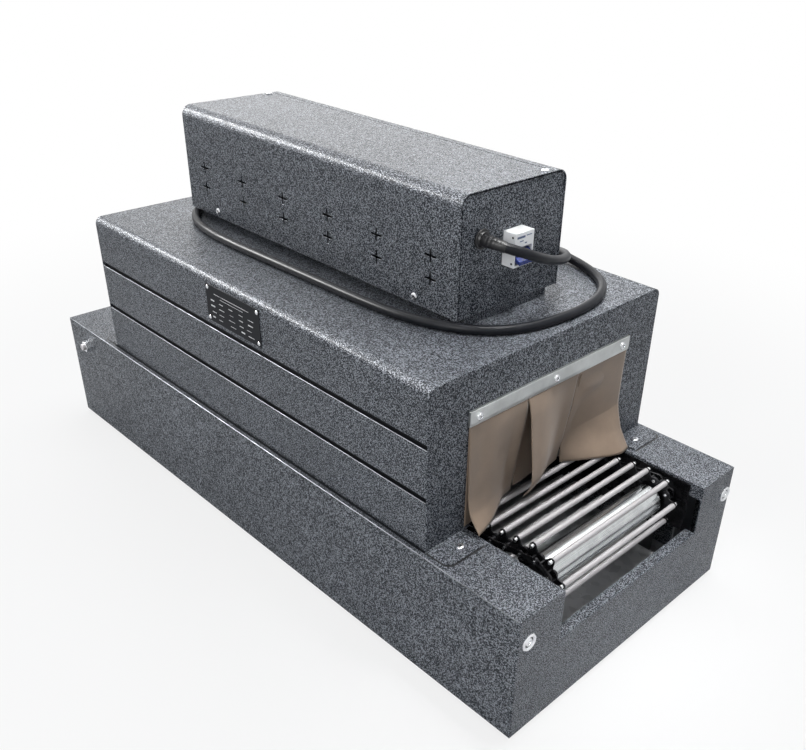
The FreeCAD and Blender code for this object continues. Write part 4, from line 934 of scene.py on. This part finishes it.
def wheels_and_drums():
    dress("drive_sprockets", 0.0005)
    dress("idler_sprockets", 0.0005)
    for node, body, x in (("drive_drum", "drive", SHAFT_X), ("idler_drum", "idler", -SHAFT_X)):
        low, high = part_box(node)
        length = high.y - low.y
        bore = 0.0078
        tube = turned(node + "_finish", Vector((x, low.y, SHAFT_Z)), Y,
                      [(0.0022, bore), (0.0012, 0.0195), (0.0004, 0.0205), (0, 0.0212), (0.0001, 0.0224),
                       (0.0009, 0.023), (length - 0.0009, 0.023), (length - 0.0001, 0.0224),
                       (length, 0.0212), (length - 0.0004, 0.0205), (length - 0.0012, 0.0195),
                       (length - 0.0022, bore)], 96)
        settle(tube, "bright_steel", body, [node], POLISHED)
    for node in ("drive_shaft", "idler_axle"):
        low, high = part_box(node)
        centre = (low + high) / 2
        radius = (high.x - low.x) / 2
        length = high.y - low.y
        obj = turned(node + "_finish", Vector((centre.x, low.y, centre.z)), Y,
                     [(0, 0), (0, radius - 0.0008), (0.0008, radius), (length - 0.0008, radius),
                      (length, radius - 0.0008), (length, 0)], 48)
        settle(obj, "bright_steel", BODY_OF[node], [node])


# curtains

CLAMP_UNDER_MM = 353.4

# Each edge is (height, x) pairs in mm, from the clamp down to the hem.
DISCHARGE_EDGES_MM = (
    ((353.4, 392.9), (330, 394.3), (277, 395.4), (245, 396.8), (226, 401.5), (217, 408), (204, 418.5)),
    ((353.4, 392.9), (345, 394.6), (318, 392.6), (290, 388.8), (244, 383), (214, 378), (204, 376.5)),
    ((353.4, 393.1), (345, 396.6), (328, 400.8), (288, 405.8), (236, 411.5), (222, 409), (203, 399)),
    ((353.4, 392.9), (345, 390.6), (318, 387.8), (290, 384.2), (244, 377.5), (214, 371.3), (203, 369.8)),
    ((353.4, 392.7), (345, 389.8), (319, 387.2), (292, 385), (257, 379), (232, 374), (200, 374.5)),
    ((353.4, 392.9), (326, 392.7), (295, 392.2), (262, 393), (228, 402), (213, 411), (200, 419)),
)
# Each strip's soft bulges: how far across and down, their spreads, how far out in mm, and how
# much each drops from one side to the other.
BULGES = (
    ((0.45, 0.5, 0.2, 0.5, 3.0, 0), (0.8, 0.62, 0.1, 0.4, -3.0, 0), (0.2, 0.3, 0.12, 0.3, -1.5, 0)),
    ((0.3, 0.55, 0.22, 0.4, 4.0, 0), (0.75, 0.5, 0.15, 0.4, -2.0, 0)),
    ((0.45, 0.52, 0.9, 0.3, -5.0, -0.4), (0.36, 0.22, 0.3, 0.1, 3.5, 0.05),
     (0.06, 0.1, 0.05, 0.08, -2.5, 0), (0.55, 1.05, 0.6, 0.25, 13.0, 0)),
)


def edge_x(pairs, z):
    """x at a height on an edge, smoothed between its pairs."""
    if z >= pairs[0][0]:
        return pairs[0][1]
    for k, ((z0, x0), (z1, x1)) in enumerate(zip(pairs, pairs[1:])):
        if z >= z1:
            t = (z0 - z) / (z0 - z1)
            before = pairs[k - 1][1] if k else x0
            after = pairs[k + 2][1] if k + 2 < len(pairs) else x1
            return 0.5 * (2 * x0 + (x1 - before) * t + (2 * before - 5 * x0 + 4 * x1 - after) * t * t
                          + (3 * x0 - before - 3 * x1 + after) * t ** 3)
    return pairs[-1][1]


def swell(bulges, across, down):
    return sum(depth * math.exp(-((across - a) / wide) ** 2
                                - ((down - d - drop * (across - a)) / tall) ** 2)
               for a, d, wide, tall, depth, drop in bulges)


def strip_sheet(name, body, node, low_y, high_y, left, right, bulges, end, behind=0.0):
    """One hanging strip of cloth between two edges, with soft bulges between them."""
    columns, rows = 32, 44
    mesh = bpy.data.meshes.new(name)
    verts, flat = [], []
    hem = left[-1][0]
    for r in range(rows + 1):
        down = r / rows
        z = CLAMP_UNDER_MM + (hem - CLAMP_UNDER_MM) * down
        a, b = edge_x(left, z), edge_x(right, z)
        for c in range(columns + 1):
            across = c / columns
            ease = across * across * (3 - 2 * across)
            x = a + (b - a) * (0.45 * across + 0.55 * ease) - behind
            inside = min(1.0, 6 * across * (1 - across) + 0.1) * min(1.0, 8 * down)
            x += swell(bulges, across, down) * inside
            x += 0.4 * math.sin(7.3 * across + 3.1 * down + low_y) * down
            verts.append(Vector((end * x, low_y + (high_y - low_y) * across, z)) * MM)
            flat.append(((high_y - low_y) * across * MM, down * 0.15))
    faces = []
    for r in range(rows):
        for c in range(columns):
            k = r * (columns + 1) + c
            quad = (k, k + 1, k + columns + 2, k + columns + 1)
            faces.append(quad if end < 0 else quad[::-1])
    mesh.from_pydata(verts, [], faces)
    layer = mesh.uv_layers.new(name="Cloth")
    for loop in mesh.loops:
        layer.data[loop.index].uv = flat[loop.vertex_index]
    mesh.shade_smooth()
    obj = link(mesh, name)
    wall = obj.modifiers.new("Cloth thickness", "SOLIDIFY")
    wall.thickness = 0.0005
    wall.offset = 0.0
    settle(obj, "curtain_cloth", body, [node] if node else ())


def curtains():
    """Three strips at each mouth. A second, straighter layer hangs behind the discharge ones."""
    width = 320.0 / 3
    for k in range(3):
        low = -161 + k * (width + 1)
        strip_sheet(f"curtain_out_{k + 1}", f"discharge_strip_{k + 1}", f"curtain_discharge_{k + 1}",
                    low, low + width, DISCHARGE_EDGES_MM[2 * k], DISCHARGE_EDGES_MM[2 * k + 1],
                    BULGES[k], 1)
    lining = (
        (-161, -58, ((353.4, 393.3), (204, 393.2)), ((353.4, 393), (318, 391), (244, 381), (208, 375))),
        (-53.3, 12, ((353.4, 392.6), (318, 388), (211, 380)), ((353.4, 392.6), (318, 388), (211, 376))),
        (60, 161, ((353.4, 392.6), (292, 383), (204, 370)), ((353.4, 393.4), (204, 393.2))),
    )
    for k, (low, high, left, right) in enumerate(lining):
        strip_sheet(f"curtain_lining_{k + 1}", f"discharge_strip_{k + 1}", None, low, high, left, right,
                    (), 1, behind=1.2)
    width = 98.333
    for k in range(3):
        low = -148.5 + k * (width + 1)
        left = [(z, 392.9 + (x - 392.9) * 0.35) for z, x in DISCHARGE_EDGES_MM[(2 * k + 2) % 6]]
        right = [(z, 392.9 + (x - 392.9) * 0.3) for z, x in DISCHARGE_EDGES_MM[(2 * k + 3) % 6]]
        soft = [(a, d, w, t, 0.5 * depth, drop) for a, d, w, t, depth, drop in BULGES[k]]
        strip_sheet(f"curtain_in_{k + 1}", f"infeed_strip_{k + 1}", f"curtain_infeed_{k + 1}",
                    low, low + width, left, right, soft, -1)


# screws, rivets and marks

def cross_outline(radius):
    """The corners of a screw's cross recess."""
    arm, slit = radius * 0.46, radius * 0.14
    outline = []
    for k in range(4):
        c, s = math.cos(k * math.pi / 2), math.sin(k * math.pi / 2)
        for a, b in ((arm, -slit), (arm, slit), (slit, slit)):
            outline.append((a * c - b * s, a * s + b * c))
    return outline


def painted_recess_shade(radius, height):
    """A dark plug in the foot of a cross recess: painted shade."""
    shape = bmesh.new()
    rims = [[shape.verts.new((x * 0.9, y * 0.9, z)) for x, y in cross_outline(radius)]
            for z in (height * 0.62, height * 0.5)]
    return closed(shape, *rims)


def pan_head(radius, height, recess=0.5):
    """A domed head with a cross recess, standing up local Z from its seat."""
    sides = 32
    shape = bmesh.new()
    lathe(shape, Vector(), Z, [(0, radius * 0.97), (height * 0.35, radius), (height * 0.72, radius * 0.9),
                               (height * 0.95, radius * 0.66), (height, radius * recess),
                               (height * 0.98, radius * 0.46)], sides)
    deep = height * 0.55
    outline = cross_outline(radius)
    floor = [shape.verts.new((x * 0.8, y * 0.8, height - deep)) for x, y in outline]
    rim = [shape.verts.new((x, y, height * 0.985)) for x, y in outline]
    count = len(outline)
    cap = [face for face in shape.faces if len(face.verts) == sides
           and face.calc_center_median().z > height * 0.5][0]
    ring = list(cap.verts)
    shape.faces.remove(cap)
    edges = [shape.edges.get((ring[k], ring[(k + 1) % sides])) for k in range(sides)]
    edges += [shape.edges.new((rim[k], rim[(k + 1) % count])) for k in range(count)]
    bmesh.ops.triangle_fill(shape, edges=edges, use_beauty=True)
    for face in list(shape.faces):
        if all(v in rim for v in face.verts):
            shape.faces.remove(face)
    for k in range(count):
        n = (k + 1) % count
        shape.faces.new((rim[k], rim[n], floor[n], floor[k]))
    shape.faces.new(floor)
    bmesh.ops.recalc_face_normals(shape, faces=shape.faces)
    return shape


def facing(way, spin=0.0):
    """The rotation that points local Z along a direction."""
    side, up = basis(way)
    return Matrix((side, up, way)).transposed() @ Matrix.Rotation(spin, 3, "Z")


def head_places(places, seed):
    """(seat, direction) pairs with each head turned its own way."""
    spin = random.Random(seed)
    return [(Vector(seat) * MM, facing(Vector(way), spin.uniform(0, math.pi))) for seat, way in places]


def cross_heads(node, places, radius=0.0055, height=0.0025):
    copies(node + "_finish", pan_head(radius, height), places, "zinc_plate", "housing", [node])
    # Dark plugs in the cross recesses: painted shade.
    copies(node + "_recesses", painted_recess_shade(radius, height), places, "black_steel", "housing")


def fasteners():
    ends = (-1, 1)
    # The shallow recessed heads on the base's end corners.
    dished = lathe(bmesh.new(), Vector(), Z,
                   [(0, 0.0118), (0.0006, 0.012), (0.0026, 0.0118), (0.0038, 0.0108), (0.004, 0.0098),
                    (0.0038, 0.0088), (0.0022, 0.0078), (0.0018, 0.0062), (0.0018, 0.0058),
                    (0.003, 0.005), (0.0031, 0.0034), (0.0012, 0.0028), (0.001, 0.0)], 48)
    places = [((end * 555, side * 220, 159), (end, 0, 0)) for end in ends for side in (-1, 1)]
    copies("end_screws_finish", dished, head_places(places, 3), "zinc_plate", "housing", ["end_screws"])
    # A dark ring lying in each head's recess: painted shade.
    recess_shade_ring = lathe(bmesh.new(), Vector(), Z, [(0.001, 0.0038), (0.0021, 0.0038), (0.0021, 0.0077),
                                            (0.001, 0.0077), (0.001, 0.0038)], 48)
    copies("end_screw_wells", recess_shade_ring, head_places(places, 3), "black_steel", "housing")

    box_heads = [((end * 227, side * 98, 451.5), (0, side, 0)) for end in ends for side in (-1, 1)]
    box_heads += [((end * 297, 62, 601), (0, 0, 1)) for end in ends]
    cross_heads("cover_screws", head_places(box_heads, 5))
    clamp_heads = [((end * 395, y, 364), (end, 0, 0)) for end in ends for y in (-146, 0, 146)]
    cross_heads("clamp_screws", head_places(clamp_heads, 8))
    low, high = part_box("tab_screws")
    tabs = [((end * high.x * 1000 - end * 5.5, side * (high.y * 1000 - 5.5), low.z * 1000), (0, 0, 1))
            for end in ends for side in (-1, 1)]
    cross_heads("tab_screws", head_places(tabs, 11))
    rivets = [((end * 60, -229.5, z), (0, -1, 0)) for end in ends for z in (365, 411)]
    dome = lathe(bmesh.new(), Vector(), Z, [(0, 0.003), (0.0004, 0.003), (0.001, 0.0024),
                                            (0.0014, 0.0013), (0.0015, 0)], 24)
    copies("plate_rivets_finish", dome, head_places(rivets, 13), "zinc_plate", "housing",
           ["plate_rivets"])


def slab_box(shape, low, high):
    corners = bmesh.ops.create_cube(shape, size=1.0)["verts"]
    low, high = Vector(low) * MM, Vector(high) * MM
    for vert in corners:
        vert.co = Vector(((low + high) / 2)[k] + vert.co[k] * (high - low)[k] for k in range(3))


def plate_marks():
    """Bare bars on the name plate, where a real plate has its printed rows."""
    shape = bmesh.new()
    front, back = -229.62, -229.45
    slab_box(shape, (-44, front, 404.2), (40, back, 405.1))
    slab_box(shape, (-30, front, 399.8), (26, back, 400.5))
    rows = random.Random(11)
    for row in range(4):
        z = 392.5 - row * 8.4
        for left, width in ((-56, 13), (-37, 17), (-12, 19), (14, 13), (33, 17)):
            start, tall = left + rows.uniform(0, 5), rows.choice((0.8, 1.1, 1.7, 2.1))
            slab_box(shape, (start, front, z), (start + width * rows.uniform(0.45, 0.95), back, z + tall))
    obj = from_bmesh(shape, "name_plate_marks")
    settle(obj, "plate_black", "housing", material=PLATE_MARK)


# controls on the far side and the breaker

def controls():
    for node in ("speed_knob", "heat_knob"):
        low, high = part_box(node)
        x = (low.x + high.x) / 2
        z = 0.521
        seat = 0.0985
        shape = lathe(bmesh.new(), Vector((x, seat, z)), Y,
                      [(0, 0.003), (0, 0.0148), (0.0008, 0.015), (0.0022, 0.015), (0.003, 0.0134),
                       (0.0135, 0.0124), (0.0152, 0.0116), (0.016, 0.0102), (0.016, 0)], 72)
        for vert in shape.verts:
            away = Vector((vert.co.x - x, 0, vert.co.z - z))
            depth = vert.co.y - seat
            if 0.0031 < depth + 0.0002 and away.length > 0.0116:
                angle = math.atan2(away.z, away.x)
                groove = 0.0004 * (0.5 + 0.5 * math.cos(24 * angle))
                vert.co -= away.normalized() * groove
        knob = from_bmesh(shape, node + "_finish")
        settle(knob, "black_plastic", BODY_OF[node], [node])
        mark = bmesh.new()
        slab_box(mark, (x * 1000 - 0.6, 114.3, 526), (x * 1000 + 0.6, 114.72, 532.5))
        settle(from_bmesh(mark, node + "_mark"), "white_plastic", BODY_OF[node], material=SWITCH_MARK)
    for name in ("power", "fan", "conveyor"):
        dress(name + "_rocker", 0.0007, 3)
    dress("control_units", 0.0005)
    lens = [(0, 0.005), (0.0028, 0.005), (0.0042, 0.0041), (0.0049, 0.0022), (0.005, 0)]
    rim = [(0, 0.0051), (0, 0.0068), (0.0008, 0.0068), (0.0012, 0.0062), (0.0012, 0.0051)]
    for name, profile, slot, replaced in (("pilot_lamps_finish", lens, "lamp_lens", ["pilot_lamps"]),
                                          ("pilot_lamp_rims", rim, "black_plastic", ())):
        shape = bmesh.new()
        for x in (30, 92, 154):
            lathe(shape, Vector((x, 98, 555)) * MM, Y, profile, 32)
        settle(from_bmesh(shape, name), slot, "housing", replaced)
    shape = bmesh.new()
    for x in (-60, -170):
        for k in range(11):
            angle = math.radians(-45 + 27 * k)
            way = Vector((-math.cos(angle), 0, math.sin(angle)))
            spot = Vector((x, 98, 521)) + way * 20.5
            size = 0.9 if k % 5 else 1.4
            lathe(shape, spot * MM - Y * 0.0001, Y, [(0, size * MM), (0.0002, size * MM), (0.0002, 0)], 12)
    settle(from_bmesh(shape, "dial_marks"), "white_plastic", "housing", material=SWITCH_MARK)


def breaker():
    dress("breaker_body", 0.0009, 3)
    dress("breaker_toggle", 0.0008, 3)
    shape = bmesh.new()
    front, back = 323.1, 322.9
    slab_box(shape, (back, -14, 534.5), (front, 1, 537.2))
    slab_box(shape, (back, 3.5, 536), (front, 13.5, 537.2))
    slab_box(shape, (back, -9, 530), (front, -2, 531.2))
    slab_box(shape, (back, 1, 526.5), (front, 4.5, 528))
    settle(from_bmesh(shape, "breaker_marks"), "blue_plastic", "housing",
           material=BREAKER_MARK)
    shape = bmesh.new()
    for z in (502.5, 536.5):
        lathe(shape, Vector((319, -18.12, z)) * MM, Y, [(0, 0.0), (0, 0.0015), (0.0004, 0.0015)], 20)
    settle(from_bmesh(shape, "breaker_side_rivets"), "black_plastic", "housing")


def foot_pads():
    low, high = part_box("rubber_feet")
    radius = 18
    shape = bmesh.new()
    for x in (low.x * 1000 + radius, high.x * 1000 - radius):
        for y in (low.y * 1000 + radius, high.y * 1000 - radius):
            lathe(shape, Vector((x, y, 0)) * MM, Z,
                  [(0, 0.0), (0, 0.0166), (0.0006, 0.0176), (0.0016, 0.018), (0.005, 0.018), (0.005, 0)], 48)
    settle(from_bmesh(shape, "rubber_feet_finish"), "foot_rubber", "housing", ["rubber_feet"])


def wool_blanket():
    """The insulation as a soft blanket: the solid's faces cut small and pushed in unevenly."""
    shape = merged_copy("insulation")
    bmesh.ops.triangulate(shape, faces=shape.faces)
    for _ in range(4):
        long_edges = [edge for edge in shape.edges if edge.calc_length() > 0.03]
        bmesh.ops.subdivide_edges(shape, edges=long_edges, cuts=1)
        bmesh.ops.triangulate(shape, faces=[face for face in shape.faces if len(face.verts) > 3])
    shape.normal_update()
    lumps = random.Random(21)
    for vert in shape.verts:
        vert.co -= vert.normal * lumps.uniform(0.0002, 0.0016)
    settle(from_bmesh(shape, "insulation_blanket", 60), "mineral_wool", "housing", ["insulation"])


# Each casing node with the radius of its bends.
CASING = {"base_shell": 0.0014, "tunnel_cover": 0.0016, "end_plate_infeed": 0.0014,
          "end_plate_discharge": 0.0014, "box_cover": 0.0, "control_panel": 0.0,
          "box_end_plates": 0.0, "box_feet": 0.001}
SHEETS = ("side_plates", "chain_rails", "deck_plate", "base_floor", "chamber_liner", "box_floor",
          "clamp_strips", "axle_nuts", "drive_bearings", "gear_motor", "fan_motors", "name_plate",
          "fan_impeller_infeed", "fan_impeller_discharge")


def rubbed_folds():
    """Thin bright strips on the base's top folds and under the grooves, in place of highlights."""
    shape = bmesh.new()
    tunnel, base = (NODES[node].bound_box for node in ("tunnel_cover", "base_shell"))
    lines = [(tunnel[6], lip, LIP_ROUND, 0.0008) for lip in GROOVE_LIPS]
    lines.append((base[6], BASE_TOP, CASING["base_shell"], 0.002))
    steps = 6
    for corner, z, radius, back in lines:
        length, side = corner[0] - back, corner[1]
        for sign in (-1, 1):
            rings = []
            for x in (-length, length):
                ring = []
                for reach in (radius + 0.00008, radius - 0.0002):
                    turn = range(steps + 1) if reach > radius else range(steps, -1, -1)
                    for k in turn:
                        angle = math.radians(12 + 62 * k / steps)
                        ring.append(shape.verts.new((x, sign * (side - radius + reach * math.cos(angle)),
                                                     z - radius + reach * math.sin(angle))))
                rings.append(ring)
            closed(shape, *rings)
    bmesh.ops.recalc_face_normals(shape, faces=shape.faces[:])
    settle(from_bmesh(shape, "rubbed_folds"), "casing_paint", "housing", material=PAINTED_FOLD_HIGHLIGHT)


def dark_seams():
    """Near-black strips inside the long grooves and at the tunnel's feet, in place of shadow."""
    shape = bmesh.new()
    long = TUNNEL_END / MM - 1.5
    back, wall, foot = GROOVE_BACK / MM, TUNNEL_WALL / MM, BASE_TOP / MM
    strips = []
    for low in (lip / MM for lip in GROOVE_LIPS):
        strips += [(back, wall - 1.5, low, low + 0.15), (back, back + 0.15, low, low + 6.45)]
    strips += [(wall, wall + 0.4, foot + 0.02, foot + 2.4), (wall, wall + 1.6, foot + 0.02, foot + 0.25)]
    for inner, outer, bottom, top in strips:
        slab_box(shape, (-long, inner, bottom), (long, outer, top))
        slab_box(shape, (-long, -outer, bottom), (long, -inner, top))
    bmesh.ops.recalc_face_normals(shape, faces=shape.faces)
    settle(from_bmesh(shape, "dark_seams"), "casing_paint", "housing", material=MATERIALS["plate_black"])


def tab_seams():
    """A near-black edge under each tab of the tunnel's ends, in place of its shadow line."""
    shape = bmesh.new()
    edge, turn = 0.0009, 0.012
    tip, inner, outer = TUNNEL_END + 0.04 + edge, 0.166 - edge, TUNNEL_WALL + edge
    outline = ([(TUNNEL_END, inner), (tip, inner)] + arc((tip - turn, outer - turn), turn, 0, 90, 8)
               + [(TUNNEL_END, outer)])
    for end in (-1, 1):
        for way in (-1, 1):
            rims = [[shape.verts.new((end * x, way * y, z)) for x, y in outline]
                    for z in (BASE_TOP + 0.00005, BASE_TOP + 0.00025)]
            closed(shape, *rims)
    bmesh.ops.recalc_face_normals(shape, faces=shape.faces)
    settle(from_bmesh(shape, "tab_seams"), "casing_paint", "housing", material=MATERIALS["black_plastic"])


def casing():
    rubbed_folds()
    dark_seams()
    tab_seams()
    for node, fold in CASING.items():
        dress(node, 0.0005, 2, fold)
    for node in SHEETS:
        dress(node, 0.0004, 2)
    for node, obj in NODES.items():
        obj.data.materials.clear()
        obj.data.materials.append(MATERIALS[SLOT_OF[node]])


# stage

def stage():
    world = bpy.data.worlds.new("Studio")
    bpy.context.scene.world = world
    world.use_nodes = True
    tree = Tree(world.node_tree)
    world.node_tree.nodes.clear()
    path = tree.add("ShaderNodeLightPath")
    seen = tree.math("MAXIMUM", path.outputs["Is Camera Ray"],
                     tree.math("MAXIMUM", path.outputs["Is Glossy Ray"],
                               path.outputs["Is Transmission Ray"]))
    lit = tree.add("ShaderNodeBackground", {"Color": (0.93, 0.96, 1, 1), "Strength": 0.36})
    white = tree.add("ShaderNodeBackground", {"Color": (1, 1, 1, 1), "Strength": 1.0})
    both = tree.add("ShaderNodeMixShader", {0: seen, 1: lit.outputs[0], 2: white.outputs[0]})
    tree.add("ShaderNodeOutputWorld", {"Surface": both.outputs[0]})

    mesh = bpy.data.meshes.new("floor")
    reach = 14.0
    mesh.from_pydata([(-reach, -reach, 0), (reach, -reach, 0), (reach, reach, 0), (-reach, reach, 0)],
                     [], [(0, 1, 2, 3)])
    floor = link(mesh, "floor")
    floor.location.z = -0.0002
    paint = bpy.data.materials.new("Pale floor")
    paint.use_nodes = True
    tree = Tree(paint.node_tree)
    shader = paint.node_tree.nodes["Principled BSDF"]
    shader.inputs["Base Color"].default_value = (0.74, 0.745, 0.75, 1)
    shader.inputs["Roughness"].default_value = 0.9
    glow = tree.add("ShaderNodeEmission", {"Color": (1, 1, 1, 1), "Strength": 1.0})
    path = tree.add("ShaderNodeLightPath")
    away = tree.add("ShaderNodeVectorMath", {0: tree.place()}, operation="LENGTH").outputs["Value"]
    share = tree.math("MULTIPLY", path.outputs["Is Camera Ray"], tree.remap(away, 0.7, 1.7, 0.78, 1.0))
    both = tree.add("ShaderNodeMixShader", {0: share, 1: shader.outputs[0], 2: glow.outputs[0]})
    tree.tree.links.new(both.outputs[0], paint.node_tree.nodes["Material Output"].inputs["Surface"])
    mesh.materials.append(paint)

    soft_lamp("OverheadPanel", (-0.4, 0.6, 2.3), (0, 0.05, 0.3), (2.6, 1.6), 40)
    soft_lamp("MouthPanel", (0.6, 0.08, 1.75), (0.47, 0.02, 0.25), (0.3, 0.3), 0.75, beam=30)
    soft_lamp("FrontPanel", (0.75, -1.7, 1.35), (0.15, 0, 0.3), (0.7, 0.7), 12)
    soft_lamp("BendPanel", (-1.66, -1.08, 1.5), (0, -0.2, 0.4), (1.3, 0.45), 85, True)
    soft_lamp("BackPanel", (-2.0, 1.7, 1.2), (0, 0, 0.6), (2.4, 0.9), 11, True)


photo_camera()
mains_cord()
casing()
conveyor()
wheels_and_drums()
curtains()
fasteners()
plate_marks()
controls()
breaker()
foot_pads()
wool_blanket()
stage()

bpy.context.scene.view_settings.view_transform = "Standard"
